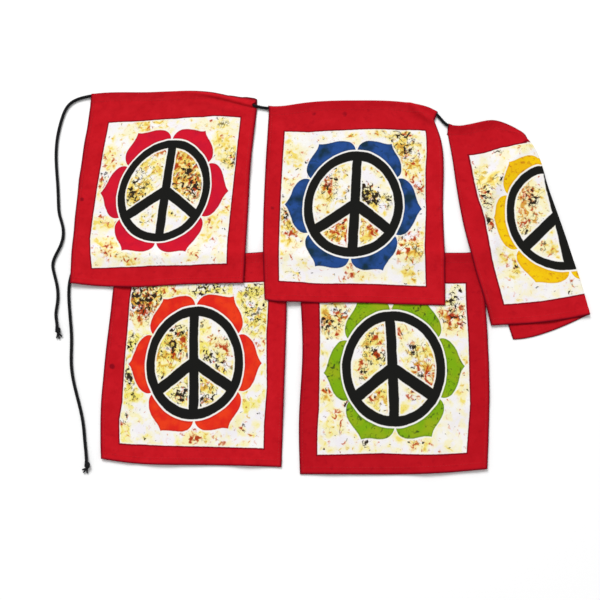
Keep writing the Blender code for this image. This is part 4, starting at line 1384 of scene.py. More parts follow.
def petal_values(name, figure, places, pixel_place):
    """Return how far each point is turned and swelled to bring the petals to their own spots."""
    middle_p, middle_q, reach_p, reach_q = figure

    def around(p, q):
        x, y = (p - middle_p) / reach_p, (q - middle_q) / reach_q
        return np.arctan2(y, x), np.hypot(x, y)

    drawn, even, swell_at, swell = [], [], [], []
    for k, pixel in enumerate(PETAL_SPOTS[name]):
        if pixel is None:
            continue
        angle, radius = around(*pixel_place(pixel))
        even.append(k * math.pi / 6.0)
        angle += 2.0 * math.pi * round((even[-1] - angle) / (2.0 * math.pi))
        drawn.append(angle)
        if k % 2 == 0:
            swell_at.append(angle)
            swell.append(float(np.clip((radius - 1.0) / (PETAL_BODY + PETAL_TIP), *PETAL_SWELL)))
    angle, _ = around(*places)
    turn = np.interp(angle, drawn, np.array(even) - drawn, period=2.0 * math.pi)
    print(name, "petals turned by", [round(math.degrees(a - b), 1) for a, b in zip(drawn, even)])
    print(name, "petals swelled by", [round(value, 2) for value in swell])
    return turn, np.interp(angle, swell_at, swell, period=2.0 * math.pi)


print("panels and petals read", len(PANELS), sum(map(len, PETAL_SPOTS.values())))

# %% [markdown]
# The cloth's own thickness follows its hems: three layers at the sides and the bottom, one layer
# between. The edges are rounded over the last half millimetre. The mesh is the middle grid pushed
# out to both sides and closed round its rim.

# %% Cloth with thickness
HEM_THICKNESS = 1.0
HEM_LEAD = 0.7
HEM_SLOPE = 0.9
EDGE_ROUND = 0.6


def hem_layers(across_mm, width_mm, down_mm, drop_mm):
    """Return the cloth's thickness by its distance from the sides and from the bottom."""
    side = np.minimum(across_mm, width_mm - across_mm)
    bottom = drop_mm - down_mm
    hem = np.maximum(1.0 - ease((side - SIDE_HEM + HEM_LEAD) / HEM_SLOPE),
                     1.0 - ease((bottom - BOTTOM_HEM + HEM_LEAD) / HEM_SLOPE))
    thick = CLOTH + (HEM_THICKNESS - CLOTH) * hem
    rim = np.clip(np.minimum(side, bottom) / EDGE_ROUND, 0.0, 1.0)
    return thick * np.sqrt(np.clip(1.0 - (1.0 - rim) ** 2, 0.06, 1.0))


def grid_normals(grid):
    """Return the unit normals of a grid of points, by column and row."""
    normals = np.cross(np.gradient(grid, axis=1), np.gradient(grid, axis=0))
    return normals / np.linalg.norm(normals, axis=2, keepdims=True)


def sheet_mesh(name, middle, thick, places, values):
    """Return a closed mesh object of cloth about its middle, with its print map."""
    half = 0.5 * thick[..., None] * grid_normals(middle)
    columns, rows = middle.shape[:2]
    count = columns * rows
    verts = np.concatenate([(middle + half).reshape(-1, 3), (middle - half).reshape(-1, 3)])
    index = np.arange(count).reshape(columns, rows)
    a, b, c, d = index[:-1, :-1], index[1:, :-1], index[1:, 1:], index[:-1, 1:]
    face = np.stack([a, d, c, b], axis=-1).reshape(-1, 4)
    back = np.stack([a, b, c, d], axis=-1).reshape(-1, 4) + count
    rim = np.concatenate([index[:-1, 0], index[-1, :-1], index[:0:-1, -1], index[0, :0:-1]])
    after = np.roll(rim, -1)
    strip = np.stack([rim, after, after + count, rim + count], axis=-1)
    item = smooth_mesh(name, (verts + SHIFT) * MM, np.concatenate([face, back, strip]).tolist())
    mesh = item.data
    layer = mesh.uv_layers.new(name="print")
    loops = np.empty(len(mesh.loops), dtype=np.int32)
    mesh.loops.foreach_get("vertex_index", loops)
    flat = np.column_stack([np.tile(place.ravel(), 2) for place in places])
    layer.data.foreach_set("uv", flat[loops].ravel())
    for label, value in values.items():
        kind, key = ("FLOAT_COLOR", "color") if value.ndim == 3 else ("FLOAT", "value")
        attribute = mesh.attributes.new(label, kind, "POINT")
        attribute.data.foreach_set(key, np.tile(value.ravel(), 2).astype(np.float32))
    return item


print("hems", SIDE_HEM, "and", BOTTOM_HEM, "mm wide")

# %% [markdown]
# The dye's stains are listed in a chart. Each row is one cluster: where its middle lies in the
# picture, its size in pixels, and how much yellow, ochre, rust and dark it holds, in tenths. The
# fine marks within a cluster come from noise in the finish, so no two flags repeat. The border has
# a few darker blotches too.

# %% Stains and border blotches
# x, y, size, then yellow, ochre, rust and dark in tenths, as far as the last that isn't nought
STAINS = {
    "flag_1": (
        (150, 126, 12, 10, 8, 3), (173, 122, 7, 4), (222, 122, 7, 7, 4, 0, 5), (216, 143, 8, 6, 4),
        (234, 159, 5, 0, 0, 6, 5), (124, 143, 7, 3), (109, 158, 7, 4, 0, 8), (103, 181, 7, 5, 0, 8, 5),
        (110, 168, 6, 4, 0, 4), (99, 194, 5, 5, 0, 4), (94, 221, 9, 6), (108, 223, 7, 6, 0, 5),
        (110, 249, 9, 6, 0, 8), (96, 246, 6, 6), (97, 263, 5, 4, 4), (128, 262, 9, 3, 7, 4),
        (193, 256, 6, 0, 5, 5), (209, 221, 8, 8, 0, 5), (207, 238, 5, 4, 0, 0, 3), (225, 208, 8, 6, 0, 4),
        (222, 237, 4, 0, 3, 3), (160, 153, 7, 0, 6, 7), (141, 168, 8, 6, 0, 0, 3), (157, 171, 5, 6, 0, 5),
        (135, 189, 12, 9, 7, 0, 6), (134, 200, 8, 8, 6, 0, 6), (152, 186, 8, 5), (179, 166, 10, 8, 10, 8),
        (187, 155, 7, 8, 6), (191, 174, 9, 0, 6, 7, 6), (176, 183, 8, 8, 7, 0, 4),
        (193, 189, 9, 0, 8, 7, 6), (148, 219, 8, 7, 0, 0, 3), (172, 209, 7, 6, 5), (182, 216, 7, 6),
        (186, 160, 13, 10, 10, 8, 2), (190, 184, 13, 10, 10, 8, 5), (176, 177, 10, 10, 10, 5, 3),
        (136, 196, 10, 10, 9, 0, 4), (152, 170, 13, 7, 3, 0, 1), (232, 160, 9, 7, 4, 2, 2),
        (225, 150, 14, 6, 2),
    ),
    "flag_2": (
        (292, 141, 7, 4), (289, 153, 9, 7, 0, 2), (303, 156, 5, 0, 4, 2), (292, 161, 7, 5),
        (295, 170, 8, 3), (352, 140, 7, 6, 3, 2), (375, 134, 6, 3, 3, 4), (382, 132, 6, 7),
        (405, 134, 5, 0, 0, 8, 6), (399, 143, 10, 9, 7, 0, 4), (405, 147, 6, 8, 0, 0, 6),
        (416, 143, 5, 5, 6), (422, 152, 7, 6), (407, 163, 7, 5, 9, 5), (416, 158, 5, 0, 0, 6, 5),
        (418, 167, 8, 6, 5), (407, 177, 4, 0, 0, 9), (418, 183, 8, 5, 5, 8), (421, 190, 5, 0, 0, 7, 3),
        (290, 184, 6, 4, 4, 3), (284, 214, 6, 0, 0, 9, 7), (288, 221, 5, 4, 4, 4), (285, 233, 8, 10, 5, 3),
        (294, 233, 5, 0, 6, 5), (296, 242, 7, 0, 4, 7), (284, 242, 6, 5), (283, 256, 6, 4, 0, 2),
        (294, 271, 6, 7, 0, 0, 2), (301, 264, 6, 4), (350, 270, 7, 0, 3, 7), (347, 275, 6, 0, 0, 7),
        (361, 274, 7, 4, 6, 2), (404, 241, 7, 0, 0, 9, 6), (418, 238, 6, 0, 4, 8), (407, 250, 10, 6, 8, 5),
        (413, 256, 8, 7, 6), (418, 228, 7, 6, 3), (407, 271, 6, 9, 4), (411, 279, 5, 10, 8),
        (327, 184, 9, 4, 6, 9, 7), (332, 175, 7, 3, 4, 5), (326, 193, 8, 7, 7), (344, 172, 7, 5, 0, 0, 2),
        (338, 166, 6, 3), (323, 212, 8, 6, 6, 2), (341, 201, 8, 6, 0, 0, 2), (349, 190, 4, 4, 0, 0, 5),
        (365, 192, 6, 6, 0, 0, 10), (370, 199, 8, 7, 0, 0, 10), (375, 196, 7, 7, 4, 0, 8),
        (390, 201, 6, 3, 0, 4, 8), (382, 207, 8, 6), (376, 170, 5, 0, 5, 7), (382, 175, 5, 7, 0, 0, 2),
        (365, 172, 7, 3), (385, 187, 8, 3), (339, 221, 6, 5, 7, 6), (335, 230, 8, 5, 8, 9, 3),
        (344, 227, 7, 6, 8, 6), (344, 242, 8, 5, 8, 10), (332, 235, 7, 8, 7), (362, 222, 8, 9, 5, 2),
        (373, 230, 6, 4, 8, 10), (365, 236, 9, 8, 5, 3), (378, 233, 5, 5, 5), (369, 198, 8, 8, 4, 0, 8),
        (364, 188, 6, 0, 0, 0, 8), (410, 160, 13, 6, 5, 3, 1), (412, 248, 12, 5, 4, 3, 2),
        (338, 232, 11, 5, 7, 7, 2), (366, 232, 11, 8, 5, 3, 1), (402, 140, 9, 8, 5, 1, 4),
        (288, 225, 10, 6, 4, 4, 2),
    ),
    "flag_3": (
        (497, 152, 5, 2, 0, 3, 4), (519, 151, 5, 0, 5, 6), (526, 149, 5, 3, 4), (506, 147, 6, 3),
        (484, 176, 9, 6, 4), (476, 179, 6, 5, 0, 3, 3), (492, 184, 7, 8, 4), (481, 192, 5, 0, 0, 10, 9),
        (484, 198, 7, 0, 4, 7, 5), (489, 202, 6, 0, 4, 5), (499, 179, 6, 4, 0, 0, 3),
        (486, 208, 6, 0, 0, 4, 5), (489, 221, 5, 0, 0, 10, 7), (493, 224, 4, 0, 0, 9, 8),
        (491, 229, 5, 0, 0, 3, 4), (506, 254, 6, 6, 4, 6), (505, 257, 5, 7), (516, 267, 6, 4, 0, 7, 4),
        (513, 264, 8, 8), (511, 276, 6, 4), (573, 291, 5, 0, 3, 0, 3), (580, 288, 5, 0, 4),
        (570, 285, 5, 0, 0, 3, 3), (524, 192, 9, 0, 10, 8, 3), (532, 198, 6, 0, 6, 7, 10),
        (522, 205, 8, 0, 10, 8), (529, 216, 9, 3, 10, 8), (524, 224, 8, 0, 9, 5, 2),
        (532, 222, 7, 0, 7, 0, 3), (527, 186, 5, 0, 5, 4), (541, 192, 6, 4, 3), (538, 192, 4, 3, 0, 0, 3),
        (542, 202, 5, 0, 4), (543, 213, 5, 3, 0, 3), (526, 233, 6, 4, 0, 0, 3), (540, 246, 6, 0, 7, 7, 4),
        (556, 251, 6, 9, 4), (551, 243, 6, 4), (548, 233, 6, 3),
    ),
    "flag_4": (
        (326, 325, 7, 0, 5, 9, 8), (339, 333, 4, 0, 0, 7, 4), (331, 336, 5, 0, 6, 4), (330, 313, 9, 6, 4),
        (343, 316, 8, 0, 5, 7, 3), (337, 308, 6, 4, 4, 3), (323, 357, 6, 6), (321, 348, 6, 3),
        (326, 389, 6, 0, 8, 9), (327, 397, 7, 6, 7), (335, 395, 6, 5, 0, 3), (346, 403, 5, 0, 0, 6, 7),
        (337, 414, 4, 0, 6, 8), (341, 420, 9, 4, 3, 5), (340, 432, 5, 0, 0, 4, 3), (326, 412, 9, 5),
        (329, 429, 9, 5, 3), (324, 441, 8, 3, 0, 2), (366, 443, 4, 0, 0, 5, 8), (366, 447, 6, 5, 3),
        (399, 437, 6, 7), (410, 441, 4, 0, 0, 3, 5), (422, 444, 8, 4, 2, 4), (412, 447, 5, 0, 0, 4),
        (428, 444, 5, 5, 0, 3), (441, 428, 6, 4), (458, 400, 7, 6), (465, 388, 6, 5, 4),
        (465, 356, 5, 6, 5), (453, 317, 9, 3, 9, 9, 4), (450, 326, 8, 3, 8, 5), (458, 317, 7, 0, 3, 5, 4),
        (450, 300, 4, 0, 0, 0, 10), (453, 296, 3, 0, 0, 0, 8), (460, 288, 5, 0, 0, 0, 9),
        (459, 297, 8, 5, 0, 0, 3), (462, 317, 7, 6), (445, 311, 7, 4, 0, 3), (370, 333, 6, 5, 3, 0, 5),
        (379, 339, 6, 5, 8, 7), (372, 325, 6, 4, 4, 3), (383, 326, 6, 0, 3, 4), (363, 346, 6, 5, 7, 0, 3),
        (375, 355, 5, 0, 0, 10, 8), (381, 359, 6, 6, 6, 0, 4), (370, 342, 8, 6), (363, 365, 5, 0, 5, 7),
        (363, 375, 6, 4, 0, 5, 4), (373, 371, 8, 5), (356, 372, 6, 4), (402, 331, 7, 5, 7, 5),
        (402, 339, 7, 0, 0, 4, 2), (413, 349, 5, 5, 0, 4, 8), (421, 353, 9, 7, 5),
        (424, 345, 6, 5, 0, 0, 2), (416, 368, 6, 4, 9, 3), (427, 363, 5, 3, 6, 5), (431, 372, 8, 4, 10, 8),
        (422, 375, 8, 0, 8, 6, 4), (428, 382, 6, 0, 9, 10), (433, 357, 6, 6), (407, 360, 7, 4),
        (375, 395, 7, 5, 8, 6), (381, 392, 8, 8, 4), (384, 401, 7, 7, 4), (370, 398, 6, 4, 6),
        (380, 407, 6, 5), (412, 394, 6, 0, 9, 10, 2), (402, 406, 7, 7), (418, 403, 6, 3),
        (372, 350, 16, 6, 3, 1, 2), (424, 366, 14, 7, 6, 3, 1), (452, 318, 11, 5, 7, 6, 3),
        (377, 400, 12, 7, 5, 2, 1), (336, 318, 13, 4, 4, 3, 1),
    ),
    "flag_5": (
        (142, 294, 9, 10, 9, 4, 5), (136, 292, 7, 5, 4, 8, 4), (148, 294, 8, 0, 9, 8),
        (139, 304, 9, 5, 10, 9), (145, 309, 9, 0, 9, 8, 4), (136, 315, 7, 0, 7, 10), (144, 316, 8, 0, 7, 9),
        (154, 303, 7, 0, 6, 6, 3), (157, 295, 6, 0, 5, 5, 3), (166, 290, 6, 4, 4, 6),
        (174, 289, 5, 3, 4, 7), (162, 289, 6, 6), (200, 290, 7, 6, 0, 0, 7), (212, 289, 8, 8, 0, 0, 6),
        (190, 290, 7, 5, 0, 3), (225, 287, 7, 6, 0, 0, 3), (251, 292, 9, 10, 0, 0, 3),
        (257, 287, 6, 7, 0, 0, 5), (243, 298, 7, 6), (251, 313, 10, 10, 4, 0, 3), (257, 326, 9, 7, 3),
        (260, 306, 7, 6), (248, 327, 7, 5), (258, 338, 7, 5, 6, 5), (262, 346, 6, 0, 7, 8),
        (134, 339, 7, 8, 3, 0, 3), (131, 346, 5, 6, 0, 0, 8), (142, 338, 7, 6), (130, 375, 6, 0, 0, 4, 9),
        (131, 388, 8, 10, 4), (127, 382, 7, 8, 0, 0, 3), (137, 395, 8, 8), (143, 390, 6, 5),
        (130, 399, 7, 6, 0, 0, 2), (124, 419, 6, 0, 0, 6, 4), (125, 425, 5, 0, 0, 5),
        (125, 437, 6, 5, 0, 3), (249, 401, 8, 9), (246, 408, 7, 7), (264, 372, 5, 6), (258, 387, 6, 3),
        (242, 430, 4, 0, 4, 6, 5), (258, 428, 5, 0, 0, 3), (189, 433, 6, 0, 0, 10), (194, 439, 6, 0, 4, 10),
        (202, 440, 6, 5, 6), (217, 440, 6, 0, 0, 6, 2), (212, 436, 7, 0, 0, 3), (182, 442, 6, 3),
        (174, 329, 5, 0, 5, 6, 5), (183, 332, 6, 5, 6, 0, 4), (177, 338, 9, 8, 8, 4),
        (173, 346, 5, 7, 0, 0, 9), (182, 344, 8, 6, 8, 3), (166, 341, 7, 6), (171, 356, 7, 5, 8, 6),
        (162, 358, 7, 7, 8), (182, 353, 6, 0, 7, 3, 2), (163, 367, 7, 6, 7), (160, 376, 4, 5, 0, 0, 6),
        (171, 364, 6, 5, 3), (202, 323, 4, 0, 9, 0, 4), (211, 326, 4, 4, 6), (203, 333, 7, 5),
        (212, 339, 6, 0, 5, 6), (223, 347, 7, 0, 5, 10), (219, 338, 6, 0, 0, 5), (225, 341, 6, 0, 0, 5, 4),
        (203, 346, 7, 8), (209, 357, 5, 5, 0, 0, 9), (220, 365, 7, 8, 8, 6, 4), (214, 367, 5, 6, 0, 0, 4),
        (228, 367, 7, 7), (225, 358, 7, 4, 0, 2), (182, 395, 5, 0, 0, 6, 9), (180, 401, 5, 0, 0, 5, 5),
        (183, 385, 6, 6, 4), (185, 378, 6, 7), (174, 393, 6, 5), (209, 385, 6, 5, 9, 6),
        (202, 382, 6, 7, 3), (203, 401, 6, 5, 9, 0, 6), (211, 398, 5, 0, 0, 4, 3), (219, 390, 6, 5),
        (200, 393, 6, 6), (143, 300, 16, 10, 7, 5, 4), (140, 289, 6, 10), (170, 350, 18, 9, 4, 2, 2),
        (212, 372, 17, 8, 4, 1, 2), (180, 395, 11, 4, 3, 3, 3), (205, 392, 12, 8, 6, 1, 3),
        (130, 372, 16, 7, 2, 0, 2), (255, 315, 18, 6, 2, 1, 1),
    ),
}

# x, y, size, strength
BLOTCHES = (
    (82.6, 200, 3, 0.8), (314, 114, 5, 0.42), (345, 115, 5, 0.45), (368.5, 110, 4, 0.42),
    (396, 113, 4, 0.35), (272.5, 209, 4, 0.45), (438, 210, 5, 0.45), (112.2, 367, 4, 0.7),
)
STAIN_FADE = 0.55
BLOTCH_FADE = 1.6


def stain_values(name, grid, front):
    """Return the stains' four strengths and the blotches' strength at every point."""
    pixels = to_pixels(grid[..., :2])
    stains = np.zeros((*grid.shape[:2], 4))
    for x, y, size, *tenths in STAINS[name]:
        away = np.linalg.norm(pixels - (x, y), axis=-1) / size
        strengths = np.pad(tenths, (0, 4 - len(tenths))) / 10.0
        mark = np.exp(-(away**3) * STAIN_FADE)[..., None] * strengths
        stains = 1.0 - (1.0 - stains) * (1.0 - mark)
    blotch = np.zeros(grid.shape[:2])
    for x, y, size, strength in BLOTCHES:
        away = np.linalg.norm(pixels - (x, y), axis=-1) / size
        blotch = np.maximum(blotch, strength * np.exp(-(away**2) * BLOTCH_FADE))
    stains[~front] = 0.0
    blotch[~front] = 0.0
    return stains, blotch


print("stain clusters", sum(map(len, STAINS.values())))

# %% [markdown]
# The dye is fixed by colours typed in, as red, green and blue shares of light. All flags have the
# same red border, pale ground and stains, each a little different, and petals of their own colour.

# %% The dyes' colours
RED = (0.495, 0.0060, 0.0125)
DEEP_RED = (0.37, 0.003, 0.010)
# Lighter red of the border's mottling: partly uneven dye, partly painted light on shallow creases.
BRIGHT_RED = (0.56, 0.009, 0.017)
# Deep red of the border's blotches, also painted as shade along the cloth's rim and folded top.
BLOTCH_AND_RIM_SHADE_RED = (0.15, 0.001, 0.008)
SEAM_RED = (0.21, 0.001, 0.007)
PALE = (0.88, 0.865, 0.83)
LILAC = (0.85, 0.82, 0.85)
STRAW = (0.89, 0.82, 0.44)
YELLOW = (0.83, 0.65, 0.13)
OCHRE = (0.62, 0.29, 0.028)
UMBER = (0.045, 0.029, 0.011)
EMBER = (0.72, 0.19, 0.022)
RUST = (0.40, 0.034, 0.007)
DARK = (0.030, 0.019, 0.011)
BLACK = (0.010, 0.010, 0.009)

# How far a flag's red is mixed with the deep one: the flags further right are darker.
DEEPER = {"flag_2": 0.08, "flag_3": 0.14, "flag_4": 0.40}

# How much of the panel outside the stains is tinted straw.
TINTS = {"flag_1": 0.62, "flag_2": 0.50, "flag_3": 0.60, "flag_4": 0.72, "flag_5": 0.84}

# Two flags have a greener yellow than the others.
YELLOWS = {"flag_4": (0.84, 0.71, 0.17), "flag_5": (0.84, 0.73, 0.15)}

# How strongly the dark clusters take on the flags that differ.
DARK_LIFT = 0.235
DARKS = {"flag_3": 0.215, "flag_4": 0.26, "flag_5": 0.30}

# Petal colours: the main one, the second one in clouds, the specks, and how strong specks are.
PETALS = {
    "flag_1": ((0.61, 0.008, 0.025), (0.54, 0.007, 0.028), (0.36, 0.004, 0.02), 0.18),
    "flag_2": ((0.020, 0.070, 0.260), (0.009, 0.030, 0.055), (0.01, 0.03, 0.04), 0.5),
    "flag_3": ((0.860, 0.560, 0.004), (0.840, 0.480, 0.006), (0.45, 0.10, 0.01), 0.7),
    "flag_4": ((0.195, 0.385, 0.006), (0.290, 0.390, 0.010), (0.03, 0.05, 0.01), 0.85),
    "flag_5": ((0.700, 0.020, 0.011), (0.790, 0.045, 0.011), (0.50, 0.02, 0.01), 0.30),
}

# The deeper dye that gathers along each petal's edge.
RIMS = {
    "flag_1": (0.24, 0.003, 0.014),
    "flag_2": (0.008, 0.030, 0.090),
    "flag_3": (0.62, 0.30, 0.010),
    "flag_4": (0.070, 0.150, 0.012),
    "flag_5": (0.34, 0.010, 0.008),
}

print("dyes of", len(PETALS), "kinds of petal")

# %% [markdown]
# The print is worked out as plain arithmetic on the place in the panel. The figure is a ring with
# an upright bar and two slanting arms, and six petals round it. Each is a distance that is below
# zero inside, so the black, the thin wax line beside it and the petals all come from the same few
# numbers. A slow noise shakes the distances, since the wax was drawn by hand.

# %% The drawn figure
ARM_ANGLE = math.radians(57.0)
PETAL_HALF_ANGLE = math.radians(29.2)
WAX_LINE = 0.028
SHAKE = 0.022
FINE_SHAKE = 0.012

# Each noise: the point it is read at, the size of its marks in millimetres, its detail, its
# roughness and how far it is stirred.
NOISES = {
    "shake_x": ("place", 13.0, 1.0),
    "shake_y": ("turned", 13.0, 1.0),
    "fine": ("place", 2.0, 2.0),
    "cloud": ("other", 24.0, 2.0),
    "wash": ("place", 13.0, 2.0, 0.5, 0.3),
    "drops": ("place", 6.5, 1.5, 0.5, 0.5),
    "specks": ("other", 6.0, 1.5, 0.5, 0.6),
    "grains": ("upright", 5.0, 1.5, 0.5, 0.6),
    "threads": ("other", 11.0, 1.5, 0.5, 0.9),
    "petal_cloud": ("place", 18.0, 2.0),
    # The border's mottle and deep noises stand partly for uneven dye and partly for painted crease shade.
    "mottle_and_crease_shade": ("place", 16.0, 3.0, 0.6),
    "deep": ("place", 7.0, 3.0, 0.6),
    "ragged": ("place", 4.0, 2.0),
    "pucker": ("place", 4.5, 1.0),
    "rumple": ("place", 15.0, 2.0),
}


def edge(distance, soft):
    """Return 1 where a distance is below zero and 0 beyond, over a soft edge."""
    return (0.5 - distance / soft).clamp()


def add_noises(paint, x, y, seed):
    """Return every noise of a flag by its name, and the point in millimetres that most are read at."""
    points = {
        "place": paint.spot(x + 311.0 * seed, y + 173.0 * seed, 19.0 * seed),
        "turned": paint.spot(y, x, 5.0 * seed),
        "other": paint.spot(y, x, 7.0 * seed),
        "upright": paint.spot(x, y, 9.0 * seed),
    }
    noise = {label: paint.noise(points[where], 1.0 / size, *rest)
             for label, (where, size, *rest) in NOISES.items()}
    return noise, points["place"]


def drawn_figure(paint, name, figure, p, q, noise):
    """Return the shares of black, wax line, petal, the petal's rim and the pale halo round it."""
    middle_p, middle_q, reach_p, reach_q = figure
    half_ring, half_bar, half_arm, bar_aside, bar_lean, arm_rise, arm_tilt, egg, lean = LINES[name]
    fine = (noise["fine"] - 0.5) * FINE_SHAKE
    y = (q - middle_q) / reach_q + (noise["shake_y"] - 0.5) * SHAKE
    even_x = (p - middle_p) / reach_p + (noise["shake_x"] - 0.5) * SHAKE
    x = (even_x + y * lean) * (y * egg + 1.0)
    radius = (x * x + y * y) ** 0.5

    inner = radius - (1.0 - half_ring)
    ring = abs(inner) - half_ring
    off_bar = abs(x - y * bar_lean - bar_aside)
    bar = (off_bar - half_bar).most(inner)
    low = y - x * arm_tilt - arm_rise
    across_arm = abs(off_bar * math.cos(ARM_ANGLE) + low * math.sin(ARM_ANGLE)) - half_arm
    along_arm = off_bar * math.sin(ARM_ANGLE) - low * math.cos(ARM_ANGLE)
    arm = across_arm.most(inner).most(0.0 - along_arm)
    sign = ring.least(bar).least(arm) + fine
    black = edge(sign, 0.012)
    wax = edge(sign - WAX_LINE, 0.012) - black

    angle = x.math("ARCTAN2", y, even_x) + paint.on_points("turn")
    off = angle.math("PINGPONG", angle, math.pi / 6.0) / PETAL_HALF_ANGLE
    body = (1.0 - off * off * off).most(0.0) ** 0.5 * PETAL_BODY
    tip = off.math("EXPONENT", off * -6.5) * PETAL_TIPS.get(name, PETAL_TIP)
    reach = (body + tip) * paint.on_points("swell") + 1.0
    outside = (even_x * even_x + y * y) ** 0.5 - reach + fine
    from_edge = outside.most(1.0 + WAX_LINE - radius)
    petal = edge(from_edge, 0.014)
    rim = edge(0.0 - from_edge - 0.022, 0.03)
    halo = edge(outside - 0.028, 0.02) * (1.0 - petal) * edge(1.0 - radius, 0.01)
    return black, wax, petal, rim, halo


print("noises in a finish", len(NOISES))

# %% [markdown]
# The dye pooled where the wax cracked, so the ground is a pile of thin washes: straw, then yellow
# and ochre drops, dark hairs, ember, rust and near-black specks. Each wash shows where its noise
# rises over a level, and a charted stain lowers that level. Petals and border are made the same way.

# %% The dyed pattern


def over(noise, level, sharpness):
    """Return how far a noise is over a level, from 0 to 1."""
    return ((noise - level) * sharpness).clamp()


def gathered(noise, level, stain, lift, sharpness):
    """Return how far a noise is over a level that a stain lowers, from 0 to 1."""
    return ((noise - level + stain * lift) * sharpness).clamp()


def hairline(noise, width):
    """Return a thin line where a noise crosses its middle."""
    return (1.0 - abs(noise - 0.5) / width).clamp()


def ground_dye(paint, name, noise):
    """Return the colour of the pale ground with its stains."""
    stains = paint.on_points("stains", 0)
    yellow, ochre, rust = (
        paint.node("ShaderNodeSeparateColor", None, k, Color=stains) for k in range(3))
    dark = paint.on_points("stains", 3)
    wash, drops, specks = noise["wash"], noise["drops"], noise["specks"]
    marked = (yellow + ochre + rust).clamp()
    tint = gathered(wash, 0.46, marked, 0.8 / 6.0, 6.0)
    hair = hairline(noise["threads"], 0.030) * ((marked * 0.4 + dark * 0.9 + specks - 0.86) * 5.0).clamp()
    layers = (
        (over(noise["cloud"], 0.40, 5.0), LILAC),
        (tint * (marked * 0.35 + TINTS[name]).clamp(), STRAW),
        (gathered(wash * 0.4 + drops * 0.6, 0.61, yellow, 0.19, 9.0) * 0.95, YELLOWS.get(name, YELLOW)),
        (gathered(drops, 0.69, ochre, 0.21, 8.0) * 0.85, OCHRE),
        (hair * 0.95, UMBER),
        (gathered(specks, 0.64, rust, 0.20, 8.0) * 0.7, EMBER),
        (gathered(specks, 0.71, rust, 0.20, 10.0) * 0.95, RUST),
        (gathered(noise["grains"], 0.68, dark, DARKS.get(name, DARK_LIFT), 11.0), DARK),
    )
    ground = PALE
    for share, colour in layers:
        ground = paint.mix(share, ground, colour)
    return ground


def petal_dye(paint, name, noise, rim):
    """Return the colour of a flag's petals, deeper along their rims."""
    main, second, speck_colour, speck_share = PETALS[name]
    veins = hairline(noise["threads"], 0.016) * edge(0.52 - noise["specks"], 0.05)
    colour = paint.mix(over(noise["petal_cloud"], 0.42, 4.5), main, second)
    colour = paint.mix(over(noise["drops"], 0.60, 9.0) * speck_share, colour, speck_colour)
    colour = paint.mix(veins * speck_share, colour, speck_colour)
    return paint.mix(rim * 0.5, colour, RIMS[name])


def border_dye(paint, name, noise, from_panel):
    """Return the border's red, darker in blotches, beside the panel and in painted shade at the rim."""
    # The deep and lighter mottled patches are partly uneven dye and partly painted light and shade of
    # shallow creases.
    deep = over(noise["deep"], 0.54, 5.0) * 0.45
    bruise = ((paint.on_points("blotches") * 1.5 + noise["wash"] - 0.95) * 3.0).clamp() * 0.7
    red = paint.mix((noise["mottle_and_crease_shade"] * 3.0 - 1.2).clamp(), RED, BRIGHT_RED)
    red = paint.mix((deep + DEEPER.get(name, 0.0)).clamp(), red, DEEP_RED)
    red = paint.mix(bruise, red, BLOTCH_AND_RIM_SHADE_RED)
    # Painted shade: the red darkens along the cloth's rim and its folded top edge.
    red = paint.mix((paint.on_points("rim") * 1.1).clamp(), red, BLOTCH_AND_RIM_SHADE_RED)
    return paint.mix(edge(from_panel - 1.8, 0.8), red, SEAM_RED)


def print_finish(name, figure, seed):
    """Return one flag's dyed finish."""
    paint = Paint(name + "_dye", 0.9)
    flat = paint.node("ShaderNodeUVMap", {"uv_map": "print"})
    p, q = (paint.node("ShaderNodeSeparateXYZ", None, k, Vector=flat) for k in range(2))
    noise, place = add_noises(paint, p * PANEL_WIDTH, q * PANEL_HEIGHT, seed)
    black, wax, petal, rim, halo = drawn_figure(paint, name, figure, p, q, noise)

    in_x, in_y = (0.5 - abs(p - 0.5)) * PANEL_WIDTH, (0.5 - abs(q - 0.5)) * PANEL_HEIGHT
    from_panel = 0.0 - in_x.least(in_y) + (noise["ragged"] - 0.5) * 0.9
    selvage = 1.0 - edge(from_panel + 1.3, 1.0)
    colour = paint.mix((halo * 0.75).most(selvage * 0.7), ground_dye(paint, name, noise), PALE)
    colour = paint.mix(petal, colour, petal_dye(paint, name, noise, rim))
    colour = paint.mix(wax * 0.9, colour, PALE)
    colour = paint.mix(black, colour, BLACK)
    red = border_dye(paint, name, noise, from_panel)
    paint.colour(paint.mix(edge(from_panel, 0.7), red, colour))

    warp, weft = (
        paint.node("ShaderNodeTexWave", {"bands_direction": way}, 1, Vector=place, Scale=0.8)
        for way in "XY")
    pucker = noise["pucker"] * paint.on_points("seam")
    paint.bump((warp + weft) * 0.05 + pucker * 0.9 + noise["rumple"] * 1.2, 0.8, 0.0007)
    return paint.material


print("finish of a flag ready")

# %% [markdown]
# A row of stitches follows a seam. A tree spaces short bent capsules along each seam line, turned
# to lie along it, and sinks their ends in the cloth. The line carries the cloth's own upward way
# for each point, so the same tree serves the flat seams and the ones on the fold.

# %% Stitches
STITCH_PITCH = 3.6
STITCH_LENGTH = 2.7
STITCH_RADIUS = 0.20
STITCH_POINTS = 7
STITCH_SIDES = 5
STITCH_JITTER = 0.10
SIDE_STITCH = 4.2
BOTTOM_STITCH = 8.0
THREAD_RED = (0.50, 0.012, 0.020, 1.0)


def stitch_mesh():
    """Return one stitch along X: a thread that dives into the cloth at both ends."""
    along = np.linspace(-0.5, 0.5, STITCH_POINTS)
    rise = 0.16 - 0.42 * (2.0 * np.abs(along)) ** 3
    points = np.column_stack([along * STITCH_LENGTH, np.zeros(STITCH_POINTS), rise])
    radii = STITCH_RADIUS * np.array([0.5, 0.85, 1.0, 1.0, 1.0, 0.85, 0.5])
    item = smooth_mesh("stitch", *tube(points * MM, radii * MM, STITCH_SIDES))
    item.hide_render = True
    return item


